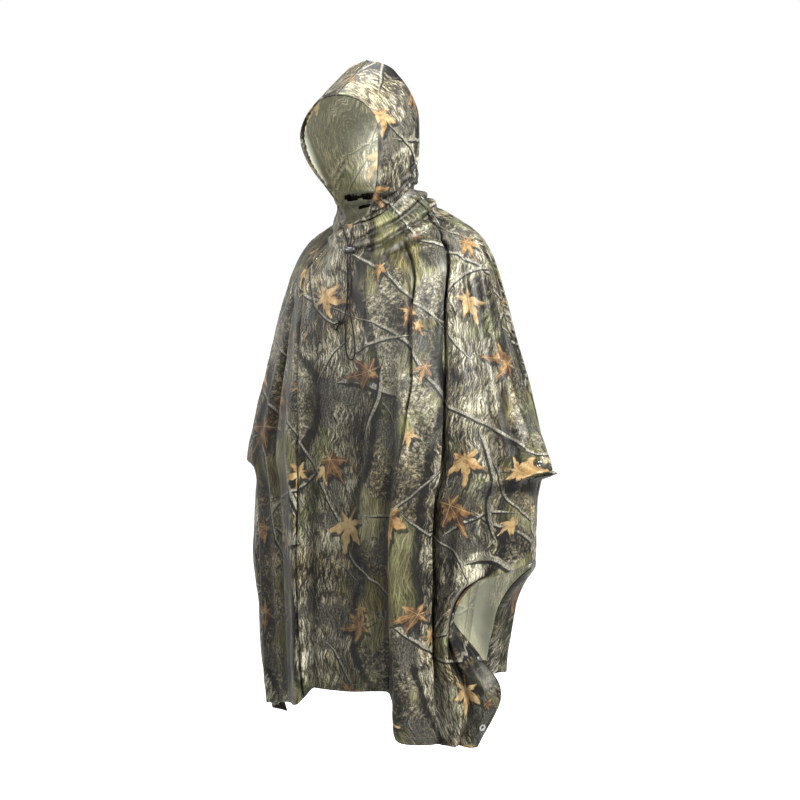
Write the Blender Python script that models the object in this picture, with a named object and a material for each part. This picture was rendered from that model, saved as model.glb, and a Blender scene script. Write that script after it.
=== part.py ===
"""Hooded rain poncho, worn shape with no wearer: front and back panel, two hood halves,
drawcord with lock and knot, and the press snaps along the side edges.

Frame: metres, +Z up, the front faces -Y, the wearer's left is +X, and the origin lies on
the shoulder line at the middle of the neck.
"""
import math

import bmesh
import bpy
import numpy as np
from mathutils import Matrix, Vector
from mathutils.bvhtree import BVHTree

for old in list(bpy.data.objects):
    bpy.data.objects.remove(old, do_unlink=True)

# ---------------------------------------------------------------- driving sizes, metres
CLOTH = 0.0015          # wall of the sewn cloth panels
SEAM_GAP = 0.0006       # gap left between two panels along a seam
RIM_CLOTH = 0.0036      # wall where the hood edge is turned in as a cord channel


def ease(table, column, where):
    """Smooth, overshoot-free reading of one named column of a row table."""
    xk = np.array([row[0] for row in table], float)
    yk = np.array([row[column] for row in table], float)
    x = np.clip(np.asarray(where, float), xk[0], xk[-1])
    h = np.diff(xk)
    d = np.diff(yk) / h
    m = np.zeros_like(yk)
    m[0] = d[0]
    m[-1] = d[-1]
    if len(h) > 1:
        mean = (d[:-1] * h[1:] + d[1:] * h[:-1]) / (h[:-1] + h[1:])
        least = np.minimum(np.minimum(abs(d[:-1]), abs(d[1:])), 0.5 * abs(mean))
        m[1:-1] = (np.sign(d[:-1]) + np.sign(d[1:])) * least
    i = np.clip(np.searchsorted(xk, x, side="right") - 1, 0, len(h) - 1)
    u = (x - xk[i]) / h[i]
    a = yk[i]
    b = yk[i + 1]
    p = m[i] * h[i]
    q = m[i + 1] * h[i]
    return a + u * (p + u * ((3 * (b - a) - 2 * p - q) + u * (p + q - 2 * (b - a))))


# rings down the body: s, height at the middle front and back, height at the side,
# half width, front depth, back depth, depth of the side point, squareness
RINGS = [
    # s,    z_front, z_back, z_side, half_w, y_front, y_back, y_side, square
    (0.000, -0.020, 0.060, 0.058, 0.095, -0.160, 0.005, -0.060, 1.35),
    (0.030, -0.048, 0.048, 0.038, 0.110, -0.168, 0.030, -0.032, 1.45),
    (0.060, -0.076, 0.032, 0.006, 0.130, -0.175, 0.055, -0.012, 1.60),
    (0.090, -0.106, 0.012, -0.014, 0.164, -0.181, 0.080, 0.000, 1.78),
    (0.120, -0.138, -0.014, -0.034, 0.204, -0.186, 0.100, 0.000, 1.92),
    (0.150, -0.170, -0.045, -0.056, 0.234, -0.190, 0.118, 0.000, 2.00),
    (0.185, -0.206, -0.085, -0.090, 0.254, -0.193, 0.134, 0.000, 2.05),
    (0.220, -0.242, -0.130, -0.126, 0.267, -0.196, 0.147, 0.000, 2.10),
    (0.310, -0.335, -0.250, -0.250, 0.304, -0.202, 0.164, 0.000, 2.12),
    (0.420, -0.445, -0.400, -0.400, 0.356, -0.208, 0.172, 0.004, 2.08),
    (0.525, -0.545, -0.545, -0.550, 0.390, -0.213, 0.173, 0.008, 1.95),
    (0.570, -0.592, -0.585, -0.580, 0.378, -0.215, 0.170, 0.006, 1.88),
    (0.640, -0.665, -0.655, -0.650, 0.368, -0.217, 0.162, 0.000, 1.82),
    (0.740, -0.768, -0.765, -0.764, 0.358, -0.219, 0.152, 0.000, 1.80),
    (0.860, -0.890, -0.885, -0.890, 0.340, -0.221, 0.138, 0.000, 1.80),
    (1.000, -1.035, -1.020, -1.035, 0.318, -0.222, 0.128, 0.000, 1.85),
]

# free side edges below the wing tips: s, x, y, z
EDGE_FRONT_LEFT = [
    (0.420, 0.358, 0.004, -0.398),
    (0.525, 0.426, 0.008, -0.541),
    (0.545, 0.400, -0.035, -0.549),
    (0.568, 0.368, 0.004, -0.566),
    (0.620, 0.377, -0.002, -0.620),
    (0.700, 0.380, -0.002, -0.708),
    (0.730, 0.382, -0.003, -0.741),
    (0.760, 0.306, -0.040, -0.752),
    (0.790, 0.262, -0.070, -0.776),
    (0.850, 0.234, -0.095, -0.850),
    (0.915, 0.292, -0.060, -0.950),
    (0.962, 0.341, -0.055, -1.024),
    (1.000, 0.311, -0.100, -1.133),
]
EDGE_FRONT_RIGHT = [
    (0.420, 0.358, 0.004, -0.402),
    (0.525, 0.438, 0.008, -0.562),
    (0.545, 0.406, -0.035, -0.570),
    (0.568, 0.382, 0.006, -0.588),
    (0.640, 0.382, -0.008, -0.665),
    (0.700, 0.383, -0.012, -0.730),
    (0.740, 0.380, -0.018, -0.779),
    (0.830, 0.340, -0.040, -0.895),
    (0.920, 0.312, -0.060, -1.024),
    (1.000, 0.242, -0.085, -1.140),
]
EDGE_BACK_LEFT = [
    (0.420, 0.358, 0.004, -0.398),
    (0.525, 0.426, 0.008, -0.541),
    (0.545, 0.410, 0.050, -0.554),
    (0.568, 0.368, 0.004, -0.566),
    (0.620, 0.377, -0.002, -0.620),
    (0.700, 0.380, -0.002, -0.708),
    (0.730, 0.380, 0.001, -0.741),
    (0.760, 0.326, 0.060, -0.774),
    (0.835, 0.252, 0.060, -0.860),
    (0.880, 0.236, 0.062, -0.912),
    (0.940, 0.214, 0.073, -0.972),
    (1.000, 0.200, 0.085, -1.025),
]
EDGE_BACK_RIGHT = [
    (0.420, 0.358, 0.004, -0.402),
    (0.525, 0.438, 0.008, -0.562),
    (0.545, 0.414, 0.050, -0.574),
    (0.568, 0.382, 0.006, -0.588),
    (0.640, 0.382, -0.008, -0.665),
    (0.700, 0.383, -0.012, -0.730),
    (0.740, 0.380, 0.002, -0.776),
    (0.830, 0.335, 0.050, -0.870),
    (0.920, 0.300, 0.070, -0.960),
    (1.000, 0.270, 0.085, -1.040),
]

# folds: q is the column a fold lies on; t_* is where that column runs on the rings at
# the chest, the hip and the hem; width in q; out = height of the fold; lean = how far
# its crest is pushed sideways over the cloth beside it (+ towards the wearer's left)
FRONT_FOLDS = [
    # q, t_neck, t_chest, t_hip, t_hem, width,
    # out_neck, out_chest, out_hip, out_hem, lean_chest, lean_hip, lean_hem
    (-0.86, -0.95, -0.88, -0.86, -0.86, 0.10, 0.000, 0.004, 0.004, 0.008, 0.000, 0.000, 0.004),
    (-0.68, -0.88, -0.72, -0.66, -0.66, 0.09, 0.000, -0.006, -0.012, -0.014, 0.000, 0.000, 0.000),
    (-0.52, -0.80, -0.58, -0.50, -0.50, 0.08, 0.000, 0.004, 0.012, 0.020, 0.000, -0.004, -0.006),
    (-0.37, -0.72, -0.43, -0.35, -0.35, 0.06, 0.000, -0.012, -0.012, -0.010, 0.000, 0.000, 0.000),
    (-0.20, -0.62, -0.26, -0.19, -0.19, 0.11, 0.000, 0.014, 0.024, 0.034, 0.006, 0.018, 0.032),
    (0.06, 0.11, 0.110, 0.075, 0.06, 0.15, 0.000, -0.006, -0.014, -0.020, 0.000, 0.000, 0.000),
    (0.33, 0.70, 0.460, 0.345, 0.440, 0.10, 0.000, 0.008, 0.022, 0.034, -0.008, -0.020, -0.034),
    (0.46, 0.95, 0.615, 0.440, 0.560, 0.055, -0.004, -0.013, -0.015, -0.012, 0.004, 0.004, 0.000),
    (0.58, 0.965, 0.71, 0.58, 0.67, 0.07, 0.000, 0.006, 0.010, 0.014, 0.000, 0.000, 0.000),
    (0.71, 0.975, 0.80, 0.71, 0.75, 0.07, 0.000, -0.006, -0.012, -0.012, 0.000, 0.000, 0.000),
    (0.86, 0.988, 0.885, 0.845, 0.86, 0.08, 0.000, 0.010, 0.007, 0.004, 0.006, 0.006, 0.000),
]
BACK_FOLDS = [
    (-0.80, -0.82, -0.80, -0.80, -0.80, 0.09, 0.000, 0.006, 0.012, 0.014, 0.000, 0.000, 0.000),
    (-0.60, -0.62, -0.62, -0.60, -0.60, 0.09, 0.000, -0.008, -0.014, -0.018, 0.000, 0.000, 0.000),
    (-0.36, -0.38, -0.38, -0.36, -0.36, 0.11, 0.000, 0.010, 0.020, 0.030, 0.000, 0.010, 0.016),
    (-0.12, -0.12, -0.12, -0.12, -0.12, 0.12, 0.000, -0.008, -0.014, -0.020, 0.000, 0.000, 0.000),
    (0.12, 0.12, 0.12, 0.12, 0.12, 0.11, 0.000, 0.006, 0.014, 0.022, 0.000, -0.006, -0.010),
    (0.36, 0.38, 0.38, 0.36, 0.36, 0.10, 0.000, -0.008, -0.014, -0.020, 0.000, 0.000, 0.000),
    (0.60, 0.62, 0.62, 0.60, 0.60, 0.10, 0.000, 0.008, 0.016, 0.024, 0.000, 0.006, 0.010),
    (0.80, 0.82, 0.80, 0.80, 0.80, 0.09, 0.000, -0.006, -0.012, -0.014, 0.000, 0.000, 0.000),
]

# how far the hem hangs below the middle of its ring, by column: q, drop
FRONT_HEM = [
    (-1.00, 0.104),
    (-0.60, 0.070),
    (-0.20, 0.034),
    (-0.09, -0.002),
    (0.05, 0.000),
    (0.22, -0.014),
    (0.33, 0.086),
    (0.44, 0.098),
    (0.60, 0.096),
    (1.00, 0.100),
]
BACK_HEM = [
    (-1.00, 0.010),
    (-0.40, 0.000),
    (0.00, -0.010),
    (0.40, 0.002),
    (1.00, 0.005),
]


def fold_stations(folds, first, s):
    """Values of a fold's three or four stations read at ring position s."""
    stations = (0.05, 0.22, 0.60, 1.00)
    count = len(first)
    where = stations[-count:]
    return ease([(w, folds[c]) for w, c in zip(where, first)], 1, s)


def column_angle(folds, q, s):
    """Ring position of column q at s: columns run along the folds."""
    knots = [(-1.0, np.full_like(s, -1.0))]
    for fold in folds:
        knots.append((fold[0], fold_stations(fold, (1, 2, 3, 4), s)))
    knots.append((1.0, np.full_like(s, 1.0)))
    t = np.zeros_like(q)
    for (qa, ta), (qb, tb) in zip(knots[:-1], knots[1:]):
        inside = (q >= qa) & (q <= qb)
        u = (q - qa) / (qb - qa)
        t = np.where(inside, ta + (tb - ta) * u, t)
    return t


def ring_point(t, s, back):
    """Point of the smooth body form at ring position t, s."""
    z_mid = ease(RINGS, 2 if back else 1, s)
    z_side = ease(RINGS, 3, s)
    half = ease(RINGS, 4, s)
    y_mid = ease(RINGS, 6 if back else 5, s)
    y_side = ease(RINGS, 7, s)
    n = 2.0 + 0.1 * np.clip(s / 0.3, 0, 1) if back else ease(RINGS, 8, s)
    phi = t * math.pi / 2
    si = np.sin(phi)
    co = np.cos(phi)
    r = (np.abs(si) ** n + np.abs(co) ** n) ** (-1.0 / n)
    x = half * r * si
    y = y_side + (y_mid - y_side) * r * co
    z = z_side + (z_mid - z_side) * co
    return np.stack([x, y, z], -1)


def bump(tau):
    """One fold's profile: 1 on the crest, 0 at its two feet."""
    return np.where(np.abs(tau) < 1.0, np.cos(np.clip(tau, -1, 1) * math.pi / 2) ** 2, 0.0)


# stretches of s where front and back edge run together: start, end (ramps 0.006 long)
JOINED = [(0.000, 0.525), (0.568, 0.705)]


def edge_point(s, sign, back):
    """Side edge of a panel: shared with the other panel where the two are joined."""
    front_edge, back_edge = (EDGE_FRONT_LEFT, EDGE_BACK_LEFT) if sign > 0 else (
        EDGE_FRONT_RIGHT, EDGE_BACK_RIGHT)
    own, other = [
        np.stack([sign * ease(edge, 1, s), ease(edge, 2, s), ease(edge, 3, s)], -1)
        for edge in ((back_edge, front_edge) if back else (front_edge, back_edge))]
    shared = np.zeros_like(s)
    for first, last in JOINED:
        ramp = np.minimum((s - first) / 0.006 + 1, (last - s) / 0.006 + 1)
        shared = np.maximum(shared, np.clip(ramp, 0, 1))
    return own + (other - own) * (0.5 * shared)[..., None]


def panel_point(q, s, back):
    """Middle surface of the front or the back panel."""
    q = np.asarray(q, float) + 0 * np.asarray(s, float)
    s = np.asarray(s, float) + 0 * q
    folds = BACK_FOLDS if back else FRONT_FOLDS
    hem = BACK_HEM if back else FRONT_HEM
    t = column_angle(folds, q, s)
    p = ring_point(t, s, back)
    e = 1e-3
    a = ring_point(t + e, s, back)
    b = ring_point(t - e, s, back)
    along = (a - b)
    along[..., 2] = 0
    along /= np.maximum(np.linalg.norm(along, axis=-1, keepdims=True), 1e-12)
    outward = np.stack([along[..., 1], -along[..., 0], 0 * along[..., 0]], -1)
    if back:
        outward = -outward
    awake = np.clip(s / 0.06, 0, 1)
    for fold in folds:
        f = bump((q - fold[0]) / fold[5]) * awake
        out = fold_stations(fold, (6, 7, 8, 9), s)
        lean = fold_stations(fold, (10, 11, 12), s)
        p = p + outward * (out * f)[..., None] + along * (lean * f)[..., None]
    low = np.clip((s - 0.60) / 0.40, 0, 1)
    low = low * low * (3 - 2 * low)
    p[..., 2] -= ease(hem, 1, q) * low
    for sign in (1.0, -1.0):
        side = ring_point(np.full_like(s, sign), s, back)
        side[..., 2] -= ease(hem, 1, np.full_like(s, sign)) * low
        target = edge_point(s, sign, back)
        reach = 0.05 if back else 0.40
        wide = np.clip((sign * q - reach) / (1 - reach), 0, 1) ** 1.25
        near = np.clip((sign * q - 0.72) / 0.28, 0, 1) ** 1.4
        turn = np.clip((s - 0.50) / (0.36 if back else 0.22), 0, 1)
        turn = turn * turn * (3 - 2 * turn)
        w = (near + (wide - near) * turn) * (s >= 0.42)
        p = p + (target - side) * w[..., None]
    return p


# hood: level, rim x, rim y, rim z, half width, y of widest, z of widest, back y, back z,
# sideways sway of the rim, squareness of the front half
HOOD = [
    (0.00, 0.012, -0.1555, -0.0193, 0.095, -0.060, 0.058, 0.005, 0.060, 0.000, 1.35),
    (0.08, 0.028, -0.151, 0.002, 0.098, -0.062, 0.071, 0.008, 0.074, 0.020, 1.50),
    (0.25, 0.066, -0.165, 0.056, 0.107, -0.068, 0.098, 0.012, 0.100, 0.025, 1.80),
    (0.42, 0.0975, -0.181, 0.114, 0.1145, -0.072, 0.140, 0.014, 0.142, 0.015, 2.00),
    (0.60, 0.1095, -0.188, 0.170, 0.117, -0.074, 0.195, 0.010, 0.200, 0.007, 2.00),
    (0.76, 0.0930, -0.186, 0.215, 0.105, -0.078, 0.257, -0.010, 0.257, 0.003, 2.00),
    (0.88, 0.056, -0.190, 0.244, 0.076, -0.082, 0.302, -0.032, 0.300, 0.001, 2.00),
    (0.96, 0.028, -0.195, 0.253, 0.044, -0.086, 0.328, -0.046, 0.322, 0.000, 2.00),
    (1.00, 0.000, -0.197, 0.256, 0.000, -0.090, 0.340, -0.052, 0.331, 0.000, 2.00),
]


def hood_point(u, v, sign):
    """Middle surface of one hood half: u from the face rim to the back, v up."""
    u = np.asarray(u, float) + 0 * np.asarray(v, float)
    v = np.asarray(v, float) + 0 * u
    fx, fy, fz, w, cy, cz, gy, gz, sway, n = [ease(HOOD, c, v) for c in range(1, 11)]
    low = np.zeros_like(v)
    high = np.full_like(v, math.pi / 2)
    for _ in range(40):
        mid = (low + high) / 2
        r = (np.sin(mid) ** n + np.cos(mid) ** n) ** (-1.0 / n)
        over = w * r * np.sin(mid) > fx
        high = np.where(over, mid, high)
        low = np.where(over, low, mid)
    start = np.where(w < 1e-6, 0.0, (low + high) / 2)
    phi = start + (math.pi - start) * u
    si = np.sin(phi)
    co = np.cos(phi)
    front = co > 0
    m = np.where(front, n, 2.0)
    r = (np.abs(si) ** m + np.abs(co) ** m) ** (-1.0 / m)
    r0 = (np.sin(start) ** n + np.cos(start) ** n) ** (-1.0 / n)
    ahead_y = (fy - cy) / (r0 * np.cos(start))
    ahead_z = (fz - cz) / np.cos(start)
    y = np.where(front, cy + ahead_y * r * co, cy - (gy - cy) * co)
    z = np.where(front, cz + ahead_z * co, cz - (gz - cz) * co)
    x = w * r * si
    return np.stack([sign * x + sway * np.maximum(co, 0), y, z], -1)


def column_at(t, s, back):
    """Column q that runs through ring position t at s."""
    folds = BACK_FOLDS if back else FRONT_FOLDS
    low = np.full_like(s, -1.0)
    high = np.full_like(s, 1.0)
    for _ in range(40):
        mid = (low + high) / 2
        over = column_angle(folds, mid, s) > t
        high = np.where(over, mid, high)
        low = np.where(over, low, mid)
    return (low + high) / 2


def unit(v):
    return v / np.maximum(np.linalg.norm(v, axis=-1, keepdims=True), 1e-12)


def panel_normal(q, s, back):
    """Outward normal of a panel's middle surface."""
    e = 1.5e-3
    qa = np.clip(q - e, -1, 1)
    qb = np.clip(q + e, -1, 1)
    sa = np.clip(s - e, 0, 1)
    sb = np.clip(s + e, 0, 1)
    dq = panel_point(qb, s, back) - panel_point(qa, s, back)
    ds = panel_point(q, sb, back) - panel_point(q, sa, back)
    n = unit(np.cross(ds, dq))
    return -n if back else n


def hood_normal(u, v, sign):
    """Outward normal of a hood half's middle surface."""
    e = 1.5e-3
    ua = np.clip(u - e, 0, 1)
    ub = np.clip(u + e, 0, 1)
    va = np.clip(v - e, 0, 1)
    vb = np.clip(v + e, 0, 1)
    du = hood_point(ub, v, sign) - hood_point(ua, v, sign)
    dv = hood_point(u, vb, sign) - hood_point(u, va, sign)
    return unit(np.cross(du, dv)) * sign


# ---------------------------------------------------------------- building helpers
def material(name, colour, roughness, metallic=0.0):
    """One plain Principled material."""
    made = bpy.data.materials.new(name)
    made.use_nodes = True
    shader = made.node_tree.nodes["Principled BSDF"]
    shader.inputs["Base Color"].default_value = (*colour, 1.0)
    shader.inputs["Roughness"].default_value = roughness
    shader.inputs["Metallic"].default_value = metallic
    return made


def mesh_object(name, points, faces, mat):
    """A mesh object from points and faces, with the faces turned outward."""
    mesh = bpy.data.meshes.new(name)
    mesh.from_pydata([tuple(map(float, p)) for p in points], [], faces)
    bm = bmesh.new()
    bm.from_mesh(mesh)
    bmesh.ops.triangulate(bm, faces=bm.faces[:])
    bmesh.ops.recalc_face_normals(bm, faces=bm.faces[:])
    if bm.calc_volume(signed=True) < 0:
        bmesh.ops.reverse_faces(bm, faces=bm.faces[:])
    bm.to_mesh(mesh)
    bm.free()
    mesh.materials.append(mat)
    made = bpy.data.objects.new(name, mesh)
    bpy.context.scene.collection.objects.link(made)
    return made


def cloth_sheet(name, middle, normal, wall, mat):
    """Closed thin sheet: the middle surface moved half the wall out and in."""
    nu, nv = middle.shape[:2]
    half = normal * (wall / 2)[..., None]
    points = np.concatenate([(middle + half).reshape(-1, 3), (middle - half).reshape(-1, 3)])
    inner = nu * nv
    faces = []
    for i in range(nu - 1):
        for j in range(nv - 1):
            a = i * nv + j
            b = a + nv
            for tri in ((a, b, b + 1), (a, b + 1, a + 1)):
                faces.append(tri)
                faces.append(tuple(inner + k for k in reversed(tri)))
    rim = [i * nv for i in range(nu)]
    rim += [(nu - 1) * nv + j for j in range(1, nv)]
    rim += [i * nv + nv - 1 for i in range(nu - 2, -1, -1)]
    rim += [j for j in range(nv - 2, 0, -1)]
    for a, b in zip(rim, rim[1:] + rim[:1]):
        faces.append((b, a, inner + a))
        faces.append((b, inner + a, inner + b))
    return mesh_object(name, points, faces, mat)


def spread(count, centres, extra):
    """Positions from -1 to 1, closer together around the given centres."""
    x = np.linspace(-1, 1, 2001)
    weight = np.ones_like(x)
    for centre, width in centres:
        weight += extra * np.exp(-((x - centre) / width) ** 2)
    total = np.concatenate([[0], np.cumsum((weight[1:] + weight[:-1]) / 2)])
    return np.interp(np.linspace(0, total[-1], count), total, x)


# ---------------------------------------------------------------- materials
PRINT_OUT = (0.16, 0.16, 0.12)
cloth_front = material("cloth_front", PRINT_OUT, 0.62)
cloth_back = material("cloth_back", PRINT_OUT, 0.62)
cloth_hood_left = material("cloth_hood_left", PRINT_OUT, 0.62)
cloth_hood_right = material("cloth_hood_right", PRINT_OUT, 0.62)

# ---------------------------------------------------------------- front and back panel
ROWS = np.array([
    0.0, 0.03, 0.06, 0.09, 0.12, 0.15, 0.185, 0.22, 0.265, 0.31, 0.365, 0.42, 0.475, 0.525,
    0.545, 0.568, 0.62, 0.68, 0.73, 0.76, 0.79, 0.82, 0.85, 0.88, 0.915, 0.962, 1.0])
FRONT_COLUMNS = 60
BACK_COLUMNS = 42


def ring_normal(t, s, back):
    """Outward normal of the smooth body form."""
    e = 1e-3
    dt = ring_point(t + e, s, back) - ring_point(t - e, s, back)
    sa = np.clip(s - e, 0, 1)
    sb = np.clip(s + e, 0, 1)
    ds = ring_point(t, sb, back) - ring_point(t, sa, back)
    n = unit(np.cross(ds, dt))
    return -n if back else n


def neck_angle(t, back):
    """Place u on the hood's lowest arc that meets ring position t of a panel."""
    phi = np.abs(t) * math.pi / 2
    if back:
        phi = math.pi - phi
    start = HOOD_START
    return np.clip((phi - start) / (math.pi - start), 0.0, 1.0)


def hood_start():
    """Ring angle at which the hood's front edge meets the neck."""
    low = 0.0
    high = math.pi / 2
    n = HOOD[0][10]
    for _ in range(40):
        mid = (low + high) / 2
        r = (math.sin(mid) ** n + math.cos(mid) ** n) ** (-1.0 / n)
        if HOOD[0][4] * r * math.sin(mid) > HOOD[0][1]:
            high = mid
        else:
            low = mid
    return (low + high) / 2


HOOD_START = hood_start()


def panel(name, columns, back, mat):
    """Front or back panel as a closed thin sheet, drawn back from its seams."""
    folds = BACK_FOLDS if back else FRONT_FOLDS
    q = spread(columns, [(f[0], f[5] * 0.7) for f in folds], 1.6)
    q[0] = -1.0
    q[-1] = 1.0
    grid_q, grid_s = np.meshgrid(q, ROWS, indexing="ij")
    middle = panel_point(grid_q, grid_s, back)
    normal = panel_normal(grid_q, grid_s, back)
    s = ROWS
    joined = (s <= 0.53) | ((s > 0.56) & (s < 0.71))
    for i, sign in ((0, -1.0), (-1, 1.0)):
        edge = np.full_like(s, sign)
        other = panel_normal(edge, s, not back)
        shared = unit(normal[i] + other)
        normal[i] = np.where(joined[:, None], shared, normal[i])
        along = np.gradient(middle[i], axis=0)
        inward = unit(np.cross(normal[i], along))
        toward = panel_point(edge - sign * 4e-3, s, back) - middle[i]
        inward *= np.sign((inward * toward).sum(-1))[:, None]
        middle[i] += inward * SEAM_GAP / 2
    t = column_angle(folds, q, np.zeros_like(q))
    u = neck_angle(t, back)
    meets = np.abs(t) * math.pi / 2 >= HOOD_START if not back else np.full(len(t), True)
    for k in range(columns):
        if meets[k]:
            hood_n = hood_normal(u[k], np.float64(0.0), 1.0 if t[k] >= 0 else -1.0)
            normal[k, 0] = unit(normal[k, 0] + hood_n)
    down = unit(panel_point(q, np.full_like(q, 2e-3), back) - middle[:, 0])
    middle[:, 0] += down * SEAM_GAP / 2
    wall = np.full(middle.shape[:2], CLOTH)
    return cloth_sheet(name, middle, normal, wall, mat)


front_panel = panel("front_panel", FRONT_COLUMNS, False, cloth_front)
back_panel = panel("back_panel", BACK_COLUMNS, True, cloth_back)

# ---------------------------------------------------------------- hood halves
HOOD_U = np.array([
    0.0, 0.045, 0.062, 0.12, 0.18, 0.24, 0.30, 0.36, 0.42, 0.478, 0.56, 0.65, 0.75, 0.87, 1.0])
HOOD_V = np.array([
    0.0, 0.04, 0.09, 0.17, 0.25, 0.335, 0.42, 0.51, 0.60, 0.68, 0.76, 0.82, 0.88, 0.93, 0.965, 1.0])


def hood_half(name, sign, mat):
    """Left or right half of the hood, with the face edge thicker as the cord channel."""
    grid_u, grid_v = np.meshgrid(HOOD_U, HOOD_V, indexing="ij")
    middle = hood_point(grid_u, grid_v, sign)
    normal = hood_normal(np.clip(grid_u, 0.004, 0.985), np.clip(grid_v, 0.0, 0.985), sign)
    start = HOOD_START
    phi = start + (math.pi - start) * HOOD_U
    for k in range(len(HOOD_U)):
        back = phi[k] > math.pi / 2
        t = (math.pi - phi[k] if back else phi[k]) / (math.pi / 2) * sign
        body_n = ring_normal(np.float64(t), np.float64(0.0), back)
        if abs(abs(t) - 1) < 0.06:
            body_n = unit(body_n + ring_normal(np.float64(t), np.float64(0.0), not back))
        normal[k, 0] = unit(normal[k, 0] + body_n)
    up = unit(hood_point(HOOD_U, np.full_like(HOOD_U, 4e-3), sign) - middle[:, 0])
    middle[:, 0] += up * (SEAM_GAP + 0.0004)
    normal[-1, :, 0] = 0.0
    normal[:, -1, 0] = 0.0
    normal = unit(normal)
    middle[-1, :, 0] += sign * SEAM_GAP / 2
    middle[:-1, -1, 0] += sign * SEAM_GAP / 2
    wall = np.where(grid_u < 0.05, RIM_CLOTH, CLOTH)
    return cloth_sheet(name, middle, normal, wall, mat)


hood_left = hood_half("hood_left", 1.0, cloth_hood_left)
hood_right = hood_half("hood_right", -1.0, cloth_hood_right)

# ---------------------------------------------------------------- trim on the cloth
TRIM_GAP = 0.00035      # air between a fitting and the cloth under it
CORD_RADIUS = 0.0013
cord_black = material("cord_black", (0.012, 0.011, 0.010), 0.75)
plastic_black = material("plastic_black", (0.010, 0.009, 0.010), 0.38)
snap_dark = material("snap_dark", (0.020, 0.018, 0.016), 0.35, 0.6)
eyelet_metal = material("eyelet_metal", (0.62, 0.60, 0.54), 0.28, 1.0)


def tree_of(*objects):
    """One lookup tree over the outer faces of some sheets."""
    points = []
    faces = []
    for thing in objects:
        base = len(points)
        points += [v.co.copy() for v in thing.data.vertices]
        faces += [[base + k for k in p.vertices] for p in thing.data.polygons]
    return BVHTree.FromPolygons(points, faces)


front_tree = tree_of(front_panel)
back_tree = tree_of(back_panel)


def on_cloth(q, s, back):
    """Point on the outer face of the built panel and its outward normal there."""
    q = np.float64(q)
    s = np.float64(s)
    normal = Vector(panel_normal(q, s, back))
    start = Vector(panel_point(q, s, back)) + normal * 0.012
    tree = back_tree if back else front_tree
    hit = tree.ray_cast(start, -normal, 0.03)[0]
    return hit, normal


def turned(name, profile, segments, place, mat):
    """Closed turned solid about its own z, moved by a matrix."""
    points = []
    faces = []
    rows = []
    for radius, height in profile:
        if radius < 1e-7:
            rows.append([len(points)])
            points.append((0.0, 0.0, height))
            continue
        ring = []
        for k in range(segments):
            a = 2 * math.pi * k / segments
            ring.append(len(points))
            points.append((radius * math.cos(a), radius * math.sin(a), height))
        rows.append(ring)
    closed = len(rows[0]) > 1
    pairs = list(zip(rows, rows[1:] + rows[:1])) if closed else list(zip(rows, rows[1:]))
    for low, high in pairs:
        for k in range(segments):
            n = (k + 1) % segments
            if len(low) == 1:
                faces.append((low[0], high[k], high[n]))
            elif len(high) == 1:
                faces.append((low[k], high[0], low[n]))
            else:
                faces.append((low[k], low[n], high[n], high[k]))
    moved = [place @ Vector(p) for p in points]
    return mesh_object(name, moved, faces, mat)


def seat(q, s, back, radius):
    """Matrix that sets a fitting of this radius on the cloth without touching it."""
    hit, normal = on_cloth(q, s, back)
    side = normal.orthogonal().normalized()
    other = normal.cross(side)
    tree = back_tree if back else front_tree
    high = 0.0
    for k in range(12):
        a = math.pi * k / 6
        for part in (0.5, 0.8, 1.0):
            reach = side * math.cos(a) * radius * part + other * math.sin(a) * radius * part
            at = tree.ray_cast(hit + reach + normal * 0.012, -normal, 0.03)[0]
            if at is not None:
                high = max(high, (at - hit).dot(normal))
    turn = Matrix((side, other, normal)).transposed().to_4x4()
    return Matrix.Translation(hit + normal * (high + TRIM_GAP)) @ turn


SNAP_CAP = [
    (0.0, 0.0),
    (0.0062, 0.0),
    (0.0066, 0.0008),
    (0.0058, 0.0019),
    (0.0034, 0.0026),
    (0.0, 0.0028),
]
EYELET = [
    (0.0034, 0.0),
    (0.0074, 0.0),
    (0.0078, 0.0007),
    (0.0068, 0.0017),
    (0.0048, 0.0018),
    (0.0034, 0.0010),
]
# press snaps: name, column q, ring position s, on the back panel or not
SNAPS = [
    ("snap_front_left_upper", 0.970, 0.790, False),
    ("snap_front_left_lower", 0.970, 0.912, False),
    ("snap_front_right_middle", -0.955, 0.826, False),
    ("snap_front_right_corner", -0.968, 0.984, False),
    ("snap_back_left_middle", 0.950, 0.830, True),
    ("snap_back_left_corner", 0.945, 0.978, True),
    ("snap_back_right_middle", -0.950, 0.826, True),
    ("snap_back_right_corner", -0.945, 0.978, True),
]
for snap_name, snap_q, snap_s, snap_back in SNAPS:
    turned(snap_name, SNAP_CAP, 14, seat(snap_q, snap_s, snap_back, 0.0066), snap_dark)
turned("eyelet_front_left_corner", EYELET, 18, seat(0.880, 0.983, False, 0.0078), eyelet_metal)

# ---------------------------------------------------------------- drawcord
LOCK_LENGTH = 0.023
LOCK_RADIUS = 0.0066
LOCK_T = 0.100
LOCK_S = 0.061
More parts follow.
